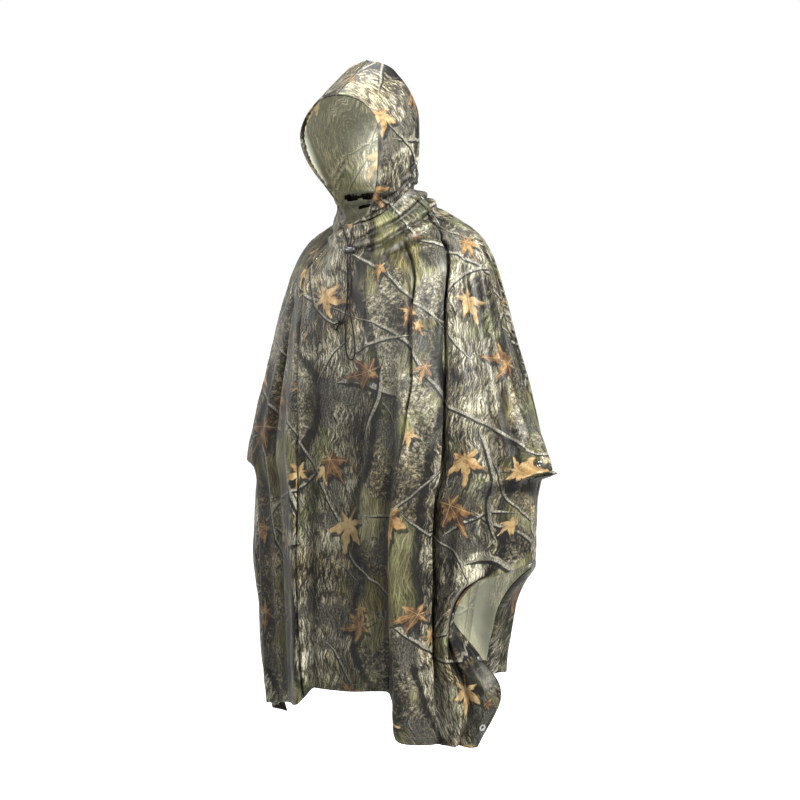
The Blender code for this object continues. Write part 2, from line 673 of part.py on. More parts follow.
# route over the front panel: ring position t, s, height of the cord's middle over the cloth
LEFT_ROUTE = [
    (0.105, 0.010, 0.0030),
    (0.110, 0.030, 0.0042),
    (0.112, 0.048, 0.0068),
    (0.112, 0.0605, 0.0074),
    (0.112, 0.074, 0.0066),
    (0.108, 0.100, 0.0034),
    (0.098, 0.140, 0.0026),
    (0.084, 0.178, 0.0026),
    (0.100, 0.215, 0.0026),
    (0.112, 0.250, 0.0026),
    (0.112, 0.275, 0.0026),
    (0.096, 0.290, 0.0026),
    (0.074, 0.287, 0.0026),
    (0.058, 0.268, 0.0026),
    (0.056, 0.246, 0.0026),
    (0.062, 0.228, 0.0030),
    (0.061, 0.2150, 0.0046),
]
RIGHT_ROUTE = [
    (-0.010, 0.010, 0.0030),
    (0.035, 0.028, 0.0042),
    (0.078, 0.046, 0.0068),
    (0.088, 0.0605, 0.0074),
    (0.088, 0.074, 0.0066),
    (0.082, 0.100, 0.0034),
    (0.074, 0.140, 0.0026),
    (0.066, 0.175, 0.0028),
    (0.060, 0.2020, 0.0046),
]
KNOT_T = 0.036
KNOT_S = 0.2090
TAIL_LEFT_ROUTE = [(0.016, 0.2095, 0.0046), (0.006, 0.2110, 0.0036), (-0.006, 0.2150, 0.0028)]
TAIL_RIGHT_ROUTE = [(0.018, 0.2130, 0.0046), (0.010, 0.2170, 0.0036), (0.002, 0.2240, 0.0028)]


def over_cloth_many(rows):
    """Points over the built front panel from rows of ring position t, s and height."""
    rows = np.array(rows, float)
    q = column_at(rows[:, 0], rows[:, 1], False)
    normals = panel_normal(q, rows[:, 1], False)
    starts = panel_point(q, rows[:, 1], False) + normals * 0.012
    spots = []
    for start, normal, height in zip(starts, normals, rows[:, 2]):
        hit = front_tree.ray_cast(Vector(start), -Vector(normal), 0.03)[0]
        spots.append(np.array(hit) + normal * height)
    return np.array(spots)


def over_cloth(t, s, height):
    """One point at a height over the built front panel."""
    return Vector(over_cloth_many([(t, s, height)])[0])


def smooth_route(route, spacing, first=None, last=None):
    """Route points read from a smooth curve through the chosen ones, evenly spaced."""
    table = [np.array(row, float) for row in route]
    table = [2 * table[0] - table[1]] + table + [2 * table[-1] - table[-2]]
    fine = []
    for k in range(1, len(table) - 2):
        p0, p1, p2, p3 = table[k - 1:k + 3]
        for u in np.linspace(0, 1, 24, endpoint=False):
            fine.append(0.5 * (2 * p1 + (p2 - p0) * u + (2 * p0 - 5 * p1 + 4 * p2 - p3) * u * u
                               + (3 * p1 - p0 - 3 * p2 + p3) * u ** 3))
    fine.append(table[-2])
    spots = over_cloth_many(fine)
    step = np.linalg.norm(np.diff(spots, axis=0), axis=1)
    run = np.concatenate([[0], np.cumsum(step)])
    if first is not None:
        near = np.clip(1 - run / 0.012, 0, 1)[:, None]
        spots = spots + (np.array(first) - spots[0]) * near * near * (3 - 2 * near)
    if last is not None:
        near = np.clip(1 - (run[-1] - run) / 0.016, 0, 1)[:, None]
        spots = spots + (np.array(last) - spots[-1]) * near * near * (3 - 2 * near)
    step = np.linalg.norm(np.diff(spots, axis=0), axis=1)
    run = np.concatenate([[0], np.cumsum(step)])
    count = max(int(round(run[-1] / spacing)) + 1, 3)
    at = np.linspace(0, run[-1], count)
    return np.stack([np.interp(at, run, spots[:, c]) for c in range(3)], -1)


def cord(name, route, first, last, stub):
    """Round cord along a route over the front panel, ending straight at the knot."""
    spots = smooth_route(route, 0.0065 if len(route) > 4 else 0.0040, first, last)
    if last is not None:
        spots = np.concatenate([spots, [np.array(last + stub)]])
    if first is not None:
        spots = np.concatenate([[np.array(first - stub)], spots])
    curve = bpy.data.curves.new(name, "CURVE")
    curve.dimensions = "3D"
    curve.bevel_depth = CORD_RADIUS
    curve.bevel_resolution = 2
    curve.use_fill_caps = True
    spline = curve.splines.new("POLY")
    spline.points.add(len(spots) - 1)
    for point, spot in zip(spline.points, spots):
        point.co = (*map(float, spot), 1.0)
    curve.materials.append(cord_black)
    made = bpy.data.objects.new(name, curve)
    bpy.context.scene.collection.objects.link(made)
    return made


# knot joining the two ends: three rounded turns of cord
KNOT_HALF = 0.0066
KNOT_RADIUS = 0.0050
KNOT = [
    (0.0, -KNOT_HALF),
    (0.0034, -KNOT_HALF),
    (0.0044, -0.0046),
    (0.0036, -0.0024),
    (KNOT_RADIUS, -0.0008),
    (KNOT_RADIUS, 0.0008),
    (0.0036, 0.0024),
    (0.0044, 0.0046),
    (0.0034, KNOT_HALF),
    (0.0, KNOT_HALF),
]
knot_at = over_cloth(KNOT_T, KNOT_S, KNOT_RADIUS + TRIM_GAP + 0.0004)
knot_ahead = over_cloth(KNOT_T - 0.02, KNOT_S + 0.004, 0.005)
knot_axis = knot_ahead - over_cloth(KNOT_T + 0.02, KNOT_S - 0.004, 0.005)
knot_axis.normalize()
knot_out = on_cloth(column_at(np.float64(KNOT_T), np.float64(KNOT_S), False), KNOT_S, False)[1]
knot_side = knot_axis.cross(knot_out).normalized()
knot_out = knot_side.cross(knot_axis).normalized()
knot_turn = Matrix((knot_side, knot_out, knot_axis)).transposed().to_4x4()
turned("cord_knot", KNOT, 16, Matrix.Translation(knot_at) @ knot_turn, cord_black)
if knot_side.z < 0:
    knot_side = -knot_side
end_in = knot_at - knot_axis * (KNOT_HALF + 0.0045)
end_out = knot_at + knot_axis * (KNOT_HALF + 0.0045)
upper = knot_side * 0.0017
stub = knot_axis * 0.0040
cord("cord_right", RIGHT_ROUTE, None, end_in + upper, stub)
cord("cord_left", LEFT_ROUTE, None, end_in - upper, stub)
cord("cord_tail_left", TAIL_LEFT_ROUTE, end_out + upper, None, stub)
cord("cord_tail_right", TAIL_RIGHT_ROUTE, end_out - upper, None, stub)

# lock: a short barrel lying across the two strands, with one slot down through it
lock_at = over_cloth(LOCK_T, LOCK_S, LOCK_RADIUS + TRIM_GAP + 0.0004)
lock_down = over_cloth(LOCK_T, LOCK_S + 0.012, 0.007) - over_cloth(LOCK_T, LOCK_S - 0.012, 0.007)
lock_down.normalize()
lock_out = on_cloth(column_at(np.float64(LOCK_T), np.float64(LOCK_S), False), LOCK_S, False)[1]
lock_across = lock_down.cross(lock_out).normalized()
lock_out = lock_across.cross(lock_down).normalized()
lock_turn = Matrix((lock_down, lock_out, lock_across)).transposed().to_4x4()
BARREL = [
    (0.0, -LOCK_LENGTH / 2),
    (LOCK_RADIUS * 0.72, -LOCK_LENGTH / 2),
    (LOCK_RADIUS * 0.86, -LOCK_LENGTH * 0.46),
    (LOCK_RADIUS * 0.86, -LOCK_LENGTH * 0.36),
    (LOCK_RADIUS, -LOCK_LENGTH * 0.34),
    (LOCK_RADIUS, LOCK_LENGTH * 0.34),
    (LOCK_RADIUS * 0.86, LOCK_LENGTH * 0.36),
    (LOCK_RADIUS * 0.86, LOCK_LENGTH * 0.46),
    (LOCK_RADIUS * 0.72, LOCK_LENGTH / 2),
    (0.0, LOCK_LENGTH / 2),
]
lock_place = Matrix.Translation(lock_at) @ lock_turn
cord_lock = turned("cord_lock", BARREL, 18, lock_place, plastic_black)
slot_mesh = bpy.data.meshes.new("cord_lock_slot")
slot_bm = bmesh.new()
bmesh.ops.create_cube(slot_bm, size=1.0)
slot_scale = Matrix.Diagonal((0.030, 0.0038, 0.0098, 1.0))
bmesh.ops.transform(slot_bm, matrix=lock_place @ slot_scale, verts=slot_bm.verts)
slot_bm.to_mesh(slot_mesh)
slot_bm.free()
cord_lock_slot = bpy.data.objects.new("cord_lock_slot", slot_mesh)
bpy.context.scene.collection.objects.link(cord_lock_slot)
cord_lock_slot.hide_render = True
cord_lock_slot.display_type = "WIRE"
cut = cord_lock.modifiers.new("slot", "BOOLEAN")
cut.operation = "DIFFERENCE"
cut.solver = "EXACT"
cut.object = cord_lock_slot
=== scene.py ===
"""Hooded rain poncho: the looks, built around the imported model.

Everything is in metres in the model's own frame: +Z up, the front faces -Y, the wearer's
left is +X, and the origin lies on the shoulder line at the middle of the neck.
"""
import math
from functools import partialmethod

import bmesh
import bpy
import numpy as np
from mathutils import Matrix, Vector
from mathutils.bvhtree import BVHTree


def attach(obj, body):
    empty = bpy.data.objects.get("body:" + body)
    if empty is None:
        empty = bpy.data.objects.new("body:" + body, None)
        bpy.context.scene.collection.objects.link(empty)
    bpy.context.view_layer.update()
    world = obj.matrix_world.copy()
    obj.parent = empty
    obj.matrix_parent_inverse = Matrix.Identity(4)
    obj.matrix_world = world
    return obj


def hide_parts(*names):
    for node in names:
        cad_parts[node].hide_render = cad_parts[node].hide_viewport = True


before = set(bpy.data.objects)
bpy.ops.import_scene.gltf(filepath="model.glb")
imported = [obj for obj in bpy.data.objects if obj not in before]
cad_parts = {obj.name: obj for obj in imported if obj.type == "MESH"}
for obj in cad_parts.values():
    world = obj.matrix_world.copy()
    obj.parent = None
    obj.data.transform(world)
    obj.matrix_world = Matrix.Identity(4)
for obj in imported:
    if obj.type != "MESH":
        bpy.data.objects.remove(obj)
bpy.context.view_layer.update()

bl_info = {
    "name": "Hooded rain poncho",
    "version": (1, 0, 0),
    "blender": (4, 5, 0),
    "location": "View3D > Sidebar > Poncho",
    "description": "Builds a hooded rain poncho in a woodland print, worn shape",
    "category": "Object",
}

BODY = "root"


def mesh_of(name, points, faces, edges=()):
    mesh = bpy.data.meshes.new(name)
    mesh.from_pydata(points, edges, faces)
    return mesh


def placed(name, data):
    """New object in the scene, at the origin."""
    made = bpy.data.objects.new(name, data)
    bpy.context.scene.collection.objects.link(made)
    return made


def unit(v):
    return v / np.maximum(np.linalg.norm(v, axis=-1, keepdims=True), 1e-12)


def within(x):
    """Keeps a share between 0 and 1."""
    return np.clip(x, 0, 1)


def smooth(x):
    """Soft start and end for a share from 0 to 1."""
    return x * x * (3 - 2 * x)


def run_along(points):
    """Length along a line of points from its first one."""
    return np.concatenate([[0], np.cumsum(np.linalg.norm(np.diff(points, axis=0), axis=1))])


# ---------------------------------------------------------------- form, as in the solids

def ease(table, column, where):
    """Smooth, overshoot-free reading of one named column of a row table."""
    xk = np.array([row[0] for row in table], float)
    yk = np.array([row[column] for row in table], float)
    x = np.clip(np.asarray(where, float), xk[0], xk[-1])
    h = np.diff(xk)
    d = np.diff(yk) / h
    m = np.zeros_like(yk)
    m[0] = d[0]
    m[-1] = d[-1]
    if len(h) > 1:
        mean = (d[:-1] * h[1:] + d[1:] * h[:-1]) / (h[:-1] + h[1:])
        least = np.minimum(np.minimum(abs(d[:-1]), abs(d[1:])), 0.5 * abs(mean))
        m[1:-1] = (np.sign(d[:-1]) + np.sign(d[1:])) * least
    i = np.clip(np.searchsorted(xk, x, side="right") - 1, 0, len(h) - 1)
    u = (x - xk[i]) / h[i]
    a = yk[i]
    b = yk[i + 1]
    p = m[i] * h[i]
    q = m[i + 1] * h[i]
    return a + u * (p + u * ((3 * (b - a) - 2 * p - q) + u * (p + q - 2 * (b - a))))


# rings down the body: s, height at the middle front and back, height at the side,
# half width, front depth, back depth, depth of the side point, squareness
RINGS = [
    # s, z_front, z_back, z_side, half_w, y_front, y_back, y_side, square
    (0, -0.02, 0.06, 0.058, 0.095, -0.16, 0.005, -0.06, 1.35),
    (0.03, -0.048, 0.048, 0.038, 0.11, -0.168, 0.03, -0.032, 1.45),
    (0.06, -0.076, 0.032, 0.006, 0.13, -0.175, 0.055, -0.012, 1.6),
    (0.09, -0.106, 0.012, -0.014, 0.164, -0.181, 0.08, 0, 1.78),
    (0.12, -0.138, -0.014, -0.034, 0.204, -0.186, 0.1, 0, 1.92),
    (0.15, -0.17, -0.045, -0.056, 0.234, -0.19, 0.118, 0, 2),
    (0.185, -0.206, -0.085, -0.09, 0.254, -0.193, 0.134, 0, 2.05),
    (0.22, -0.242, -0.13, -0.126, 0.267, -0.196, 0.147, 0, 2.1),
    (0.31, -0.335, -0.25, -0.25, 0.304, -0.202, 0.164, 0, 2.12),
    (0.42, -0.445, -0.4, -0.4, 0.356, -0.208, 0.172, 0.004, 2.08),
    (0.525, -0.545, -0.545, -0.55, 0.39, -0.213, 0.173, 0.008, 1.95),
    (0.57, -0.592, -0.585, -0.58, 0.378, -0.215, 0.17, 0.006, 1.88),
    (0.64, -0.665, -0.655, -0.65, 0.368, -0.217, 0.162, 0, 1.82),
    (0.74, -0.768, -0.765, -0.764, 0.358, -0.219, 0.152, 0, 1.8),
    (0.86, -0.89, -0.885, -0.89, 0.34, -0.221, 0.138, 0, 1.8),
    (1, -1.035, -1.02, -1.035, 0.318, -0.222, 0.128, 0, 1.85),
]

# free side edges below the wing tips: s, x, y, z
EDGE_FRONT_LEFT = [
    (0.42, 0.358, 0.004, -0.398), (0.525, 0.426, 0.008, -0.541), (0.545, 0.4, -0.035, -0.549),
    (0.568, 0.368, 0.004, -0.566), (0.62, 0.377, -0.002, -0.62), (0.7, 0.38, -0.002, -0.708),
    (0.73, 0.382, -0.003, -0.741), (0.76, 0.306, -0.04, -0.752), (0.79, 0.262, -0.07, -0.776),
    (0.85, 0.234, -0.095, -0.85), (0.915, 0.292, -0.06, -0.95), (0.962, 0.341, -0.055, -1.024),
    (1, 0.311, -0.1, -1.133),
]
EDGE_FRONT_RIGHT = [
    (0.42, 0.358, 0.004, -0.402), (0.525, 0.438, 0.008, -0.562), (0.545, 0.406, -0.035, -0.57),
    (0.568, 0.382, 0.006, -0.588), (0.64, 0.382, -0.008, -0.665), (0.7, 0.383, -0.012, -0.73),
    (0.74, 0.38, -0.018, -0.779), (0.83, 0.34, -0.04, -0.895), (0.92, 0.312, -0.06, -1.024),
    (1, 0.242, -0.085, -1.14),
]
EDGE_BACK_LEFT = EDGE_FRONT_LEFT[:2] + [(0.545, 0.41, 0.05, -0.554)] + EDGE_FRONT_LEFT[3:6] + [
    (0.73, 0.38, 0.001, -0.741), (0.76, 0.326, 0.06, -0.774), (0.835, 0.252, 0.06, -0.86),
    (0.88, 0.236, 0.062, -0.912), (0.94, 0.214, 0.073, -0.972), (1, 0.2, 0.085, -1.025),
]
EDGE_BACK_RIGHT = EDGE_FRONT_RIGHT[:2] + [(0.545, 0.414, 0.05, -0.574)] + EDGE_FRONT_RIGHT[3:6] + [
    (0.74, 0.38, 0.002, -0.776), (0.83, 0.335, 0.05, -0.87), (0.92, 0.3, 0.07, -0.96),
    (1, 0.27, 0.085, -1.04),
]

# folds: q is the column a fold lies on; t_* is where that column runs on the rings at
# the chest, the hip and the hem; width in q; out = height of the fold; lean = how far
# its crest is pushed sideways over the cloth beside it (+ towards the wearer's left)
FRONT_FOLDS = [
    # q, t_neck, t_chest, t_hip, t_hem, width,
    # out_neck, out_chest, out_hip, out_hem, lean_chest, lean_hip, lean_hem
    (-0.86, -0.95, -0.88, -0.86, -0.86, 0.1, 0, 0.004, 0.004, 0.008, 0, 0, 0.004),
    (-0.68, -0.88, -0.72, -0.66, -0.66, 0.09, 0, -0.006, -0.012, -0.014, 0, 0, 0),
    (-0.52, -0.8, -0.58, -0.5, -0.5, 0.08, 0, 0.004, 0.012, 0.02, 0, -0.004, -0.006),
    (-0.37, -0.72, -0.43, -0.35, -0.35, 0.06, 0, -0.012, -0.012, -0.01, 0, 0, 0),
    (-0.2, -0.62, -0.26, -0.19, -0.19, 0.11, 0, 0.014, 0.024, 0.034, 0.006, 0.018, 0.032),
    (0.06, 0.11, 0.11, 0.075, 0.06, 0.15, 0, -0.006, -0.014, -0.02, 0, 0, 0),
    (0.33, 0.7, 0.46, 0.345, 0.44, 0.1, 0, 0.008, 0.022, 0.034, -0.008, -0.02, -0.034),
    (0.46, 0.95, 0.615, 0.44, 0.56, 0.055, -0.004, -0.013, -0.015, -0.012, 0.004, 0.004, 0),
    (0.58, 0.965, 0.71, 0.58, 0.67, 0.07, 0, 0.006, 0.01, 0.014, 0, 0, 0),
    (0.71, 0.975, 0.8, 0.71, 0.75, 0.07, 0, -0.006, -0.012, -0.012, 0, 0, 0),
    (0.86, 0.988, 0.885, 0.845, 0.86, 0.08, 0, 0.01, 0.007, 0.004, 0.006, 0.006, 0),
]
BACK_FOLDS = [
    (-0.8, -0.82, -0.8, -0.8, -0.8, 0.09, 0, 0.006, 0.012, 0.014, 0, 0, 0),
    (-0.6, -0.62, -0.62, -0.6, -0.6, 0.09, 0, -0.008, -0.014, -0.018, 0, 0, 0),
    (-0.36, -0.38, -0.38, -0.36, -0.36, 0.11, 0, 0.01, 0.02, 0.03, 0, 0.01, 0.016),
    (-0.12, -0.12, -0.12, -0.12, -0.12, 0.12, 0, -0.008, -0.014, -0.02, 0, 0, 0),
    (0.12, 0.12, 0.12, 0.12, 0.12, 0.11, 0, 0.006, 0.014, 0.022, 0, -0.006, -0.01),
    (0.36, 0.38, 0.38, 0.36, 0.36, 0.1, 0, -0.008, -0.014, -0.02, 0, 0, 0),
    (0.6, 0.62, 0.62, 0.6, 0.6, 0.1, 0, 0.008, 0.016, 0.024, 0, 0.006, 0.01),
    (0.8, 0.82, 0.8, 0.8, 0.8, 0.09, 0, -0.006, -0.012, -0.014, 0, 0, 0),
]

# how far the hem hangs below the middle of its ring, by column: q, drop
FRONT_HEM = [
    (-1, 0.104), (-0.6, 0.07), (-0.2, 0.034), (-0.09, -0.002), (0.05, 0), (0.22, -0.014), (0.33, 0.086),
    (0.44, 0.098), (0.6, 0.096), (1, 0.1),
]
BACK_HEM = [
    (-1, 0.01), (-0.4, 0), (0, -0.01), (0.4, 0.002), (1, 0.005),
]


def fold_stations(folds, first, s):
    """Values of a fold's three or four stations read at ring position s."""
    stations = (0.05, 0.22, 0.6, 1.0)
    count = len(first)
    where = stations[-count:]
    return ease([(w, folds[c]) for w, c in zip(where, first)], 1, s)


def column_angle(folds, q, s):
    """Ring position of column q at s: columns run along the folds."""
    knots = [(-1.0, np.full_like(s, -1.0))]
    for fold in folds:
        knots.append((fold[0], fold_stations(fold, (1, 2, 3, 4), s)))
    knots.append((1.0, np.full_like(s, 1.0)))
    t = np.zeros_like(q)
    for (qa, ta), (qb, tb) in zip(knots[:-1], knots[1:]):
        inside = (q >= qa) & (q <= qb)
        u = (q - qa) / (qb - qa)
        t = np.where(inside, ta + (tb - ta) * u, t)
    return t


def ring_point(t, s, back):
    """Point of the smooth body form at ring position t, s."""
    z_mid = ease(RINGS, 2 if back else 1, s)
    z_side = ease(RINGS, 3, s)
    half = ease(RINGS, 4, s)
    y_mid = ease(RINGS, 6 if back else 5, s)
    y_side = ease(RINGS, 7, s)
    n = 2.0 + 0.1 * within(s / 0.3) if back else ease(RINGS, 8, s)
    phi = t * math.pi / 2
    si = np.sin(phi)
    co = np.cos(phi)
    r = (np.abs(si) ** n + np.abs(co) ** n) ** (-1.0 / n)
    x = half * r * si
    y = y_side + (y_mid - y_side) * r * co
    z = z_side + (z_mid - z_side) * co
    return np.stack([x, y, z], -1)


def bump(tau):
    """One fold's profile: 1 on the crest, 0 at its two feet."""
    return np.where(np.abs(tau) < 1.0, np.cos(np.clip(tau, -1, 1) * math.pi / 2) ** 2, 0.0)


# stretches of s where front and back edge run together: start, end (ramps 0.006 long)
JOINED = [(0.0, 0.525), (0.568, 0.705)]


def edge_point(s, sign, back):
    """Side edge of a panel: shared with the other panel where the two are joined."""
    front_edge, back_edge = (EDGE_FRONT_LEFT, EDGE_BACK_LEFT) if sign > 0 else (
        EDGE_FRONT_RIGHT, EDGE_BACK_RIGHT)
    own, other = [
        np.stack([sign * ease(edge, 1, s), ease(edge, 2, s), ease(edge, 3, s)], -1)
        for edge in ((back_edge, front_edge) if back else (front_edge, back_edge))]
    shared = np.zeros_like(s)
    for first, last in JOINED:
        ramp = np.minimum((s - first) / 0.006 + 1, (last - s) / 0.006 + 1)
        shared = np.maximum(shared, within(ramp))
    return own + (other - own) * (0.5 * shared)[..., None]


def panel_point(q, s, back):
    """Middle surface of the front or the back panel."""
    q = np.asarray(q, float) + 0 * np.asarray(s, float)
    s = np.asarray(s, float) + 0 * q
    folds = BACK_FOLDS if back else FRONT_FOLDS
    hem = BACK_HEM if back else FRONT_HEM
    t = column_angle(folds, q, s)
    p = ring_point(t, s, back)
    e = 1e-3
    a = ring_point(t + e, s, back)
    b = ring_point(t - e, s, back)
    along = (a - b)
    along[..., 2] = 0
    along /= np.maximum(np.linalg.norm(along, axis=-1, keepdims=True), 1e-12)
    outward = np.stack([along[..., 1], -along[..., 0], 0 * along[..., 0]], -1)
    if back:
        outward = -outward
    awake = within(s / 0.06)
    for fold in folds:
        f = bump((q - fold[0]) / fold[5]) * awake
        out = fold_stations(fold, (6, 7, 8, 9), s)
        lean = fold_stations(fold, (10, 11, 12), s)
        p = p + outward * (out * f)[..., None] + along * (lean * f)[..., None]
    low = within((s - 0.6) / 0.4)
    low = smooth(low)
    p[..., 2] -= ease(hem, 1, q) * low
    for sign in (1.0, -1.0):
        side = ring_point(np.full_like(s, sign), s, back)
        side[..., 2] -= ease(hem, 1, np.full_like(s, sign)) * low
        target = edge_point(s, sign, back)
        reach = 0.05 if back else 0.4
        wide = within((sign * q - reach) / (1 - reach)) ** 1.25
        near = within((sign * q - 0.72) / 0.28) ** 1.4
        turn = within((s - 0.5) / (0.36 if back else 0.22))
        turn = smooth(turn)
        w = (near + (wide - near) * turn) * (s >= 0.42)
        p = p + (target - side) * w[..., None]
    return p


# hood: level, rim x, rim y, rim z, half width, y of widest, z of widest, back y, back z,
# sideways sway of the rim, squareness of the front half
HOOD = [
    (0, 0.012, -0.1555, -0.0193, 0.095, -0.06, 0.058, 0.005, 0.06, 0, 1.35),
    (0.08, 0.028, -0.151, 0.002, 0.098, -0.062, 0.071, 0.008, 0.074, 0.02, 1.5),
    (0.25, 0.066, -0.165, 0.056, 0.107, -0.068, 0.098, 0.012, 0.1, 0.025, 1.8),
    (0.42, 0.0975, -0.181, 0.114, 0.1145, -0.072, 0.14, 0.014, 0.142, 0.015, 2),
    (0.6, 0.1095, -0.188, 0.17, 0.117, -0.074, 0.195, 0.01, 0.2, 0.007, 2),
    (0.76, 0.093, -0.186, 0.215, 0.105, -0.078, 0.257, -0.01, 0.257, 0.003, 2),
    (0.88, 0.056, -0.19, 0.244, 0.076, -0.082, 0.302, -0.032, 0.3, 0.001, 2),
    (0.96, 0.028, -0.195, 0.253, 0.044, -0.086, 0.328, -0.046, 0.322, 0, 2),
    (1, 0, -0.197, 0.256, 0, -0.09, 0.34, -0.052, 0.331, 0, 2),
]


def hood_point(u, v, sign):
    """Middle surface of one hood half: u from the face rim to the back, v up."""
    u = np.asarray(u, float) + 0 * np.asarray(v, float)
    v = np.asarray(v, float) + 0 * u
    fx, fy, fz, w, cy, cz, gy, gz, sway, n = [ease(HOOD, c, v) for c in range(1, 11)]
    low = np.zeros_like(v)
    high = np.full_like(v, math.pi / 2)
    for _ in range(40):
        mid = (low + high) / 2
        r = (np.sin(mid) ** n + np.cos(mid) ** n) ** (-1.0 / n)
        over = w * r * np.sin(mid) > fx
        high = np.where(over, mid, high)
        low = np.where(over, low, mid)
    start = np.where(w < 1e-6, 0.0, (low + high) / 2)
    phi = start + (math.pi - start) * u
    si = np.sin(phi)
    co = np.cos(phi)
    front = co > 0
    m = np.where(front, n, 2.0)
    r = (np.abs(si) ** m + np.abs(co) ** m) ** (-1.0 / m)
    r0 = (np.sin(start) ** n + np.cos(start) ** n) ** (-1.0 / n)
    ahead_y = (fy - cy) / (r0 * np.cos(start))
    ahead_z = (fz - cz) / np.cos(start)
    y = np.where(front, cy + ahead_y * r * co, cy - (gy - cy) * co)
    z = np.where(front, cz + ahead_z * co, cz - (gz - cz) * co)
    x = w * r * si
    return np.stack([sign * x + sway * np.maximum(co, 0), y, z], -1)


def column_at(t, s, back):
    """Column q that runs through ring position t at s."""
    folds = BACK_FOLDS if back else FRONT_FOLDS
    low = np.full_like(s, -1.0)
    high = np.full_like(s, 1.0)
    for _ in range(40):
        mid = (low + high) / 2
        over = column_angle(folds, mid, s) > t
        high = np.where(over, mid, high)
        low = np.where(over, low, mid)
    return (low + high) / 2


def form_normal(point, a, b, lowest):
    """Normal of a form given as a function of two places, the second lying along the first."""
    e = 1.5e-3
    da = point(np.clip(a + e, lowest, 1), b) - point(np.clip(a - e, lowest, 1), b)
    db = point(a, within(b + e)) - point(a, within(b - e))
    return unit(np.cross(da, db))


def panel_normal(q, s, back):
    """Outward normal of a panel's middle surface."""
    return form_normal(lambda a, b: panel_point(a, b, back), q, s, -1) * (1 if back else -1)


def hood_normal(u, v, sign):
    """Outward normal of a hood half's middle surface."""
    return form_normal(lambda a, b: hood_point(a, b, sign), u, v, 0) * sign


# ---------------------------------------------------------------- creases in the cloth
# a crease runs over the ring form from (t0, s0) to (t1, s1); width and depth in metres,
# depth below zero is a trough; bend bows its middle sideways
FRONT_CREASES = [
    # t0, s0, t1, s1, width, depth, bend
    (-0.396, 0.13, -0.35, 0.52, 0.008, -0.005, 0.01), (-0.44, 0.2, -0.42, 0.6, 0.01, 0.0045, 0),
    (-0.3, 0.12, -0.2, 0.48, 0.008, -0.004, -0.015), (-0.25, 0.33, -0.16, 0.72, 0.009, 0.004, 0.008),
    (-0.14, 0.45, -0.17, 0.96, 0.0075, -0.005, 0.004), (-0.64, 0.15, -0.6, 0.48, 0.011, -0.0045, 0.01),
    (-0.73, 0.25, -0.78, 0.55, 0.01, 0.0045, -0.01), (-0.82, 0.3, -0.88, 0.52, 0.008, -0.004, 0),
    (-0.56, 0.56, -0.52, 0.92, 0.011, -0.005, -0.01), (-0.7, 0.62, -0.74, 0.94, 0.01, 0.0045, 0.008),
    (0, 0.08, 0.06, 0.33, 0.009, -0.003, 0.006), (0.19, 0.06, 0.14, 0.3, 0.007, -0.0035, -0.004),
    (0.24, 0.1, 0.19, 0.42, 0.0085, 0.0035, 0.006), (0.15, 0.38, 0.11, 0.7, 0.011, -0.004, 0.01),
    (0.2, 0.56, 0.16, 0.9, 0.01, 0.004, -0.006), (0.485, 0.11, 0.4, 0.34, 0.006, -0.006, 0),
    (0.56, 0.13, 0.5, 0.36, 0.007, -0.0035, 0.006), (0.7, 0.11, 0.56, 0.42, 0.008, -0.0045, 0.01),
    (0.78, 0.15, 0.69, 0.47, 0.01, 0.0045, -0.008), (0.86, 0.2, 0.8, 0.5, 0.0085, -0.0045, 0.008),
    (0.92, 0.3, 0.9, 0.52, 0.007, 0.0035, 0), (0.52, 0.42, 0.43, 0.64, 0.009, 0.004, -0.01),
    (0.62, 0.48, 0.52, 0.8, 0.01, -0.0045, 0.01), (0.72, 0.52, 0.64, 0.76, 0.01, 0.0045, 0.008),
    (0.54, 0.78, 0.58, 0.97, 0.011, -0.0045, 0.006), (0.4, 0.7, 0.46, 0.96, 0.008, 0.004, -0.006),
    (0.76, 0.64, 0.62, 0.7, 0.008, -0.0035, 0.006), (0.64, 0.02, 0.82, 0.09, 0.006, 0.005, 0.004),
    (0.86, 0.03, 0.93, 0.11, 0.006, -0.0045, 0), (-0.7, 0.03, -0.78, 0.12, 0.006, -0.004, 0.004),
    (-0.9, 0.04, -0.92, 0.14, 0.006, 0.004, 0), (0.42, 0.096, 0.9, 0.11, 0.0085, 0.004, -0.004),
    (0.32, 0.045, 0.28, 0.15, 0.0042, -0.005, 0.003), (0.42, 0.04, 0.36, 0.165, 0.0045, -0.0045, -0.003),
    (0.58, 0.04, 0.52, 0.15, 0.0042, -0.005, 0.003), (0.68, 0.035, 0.64, 0.16, 0.005, -0.0045, 0.004),
    (0.8, 0.035, 0.8, 0.15, 0.0045, -0.005, -0.003), (-0.42, 0.04, -0.4, 0.14, 0.0045, -0.0045, 0.003),
    (-0.6, 0.04, -0.62, 0.15, 0.0045, -0.004, -0.003), (0.98, 0.49, 0.7, 0.6, 0.01, -0.006, 0.008),
    (0.94, 0.44, 0.66, 0.56, 0.01, 0.005, 0.008), (0.9, 0.56, 0.7, 0.66, 0.008, 0.0045, -0.006),
    (-0.96, 0.5, -0.74, 0.62, 0.01, -0.0055, 0.008),
]
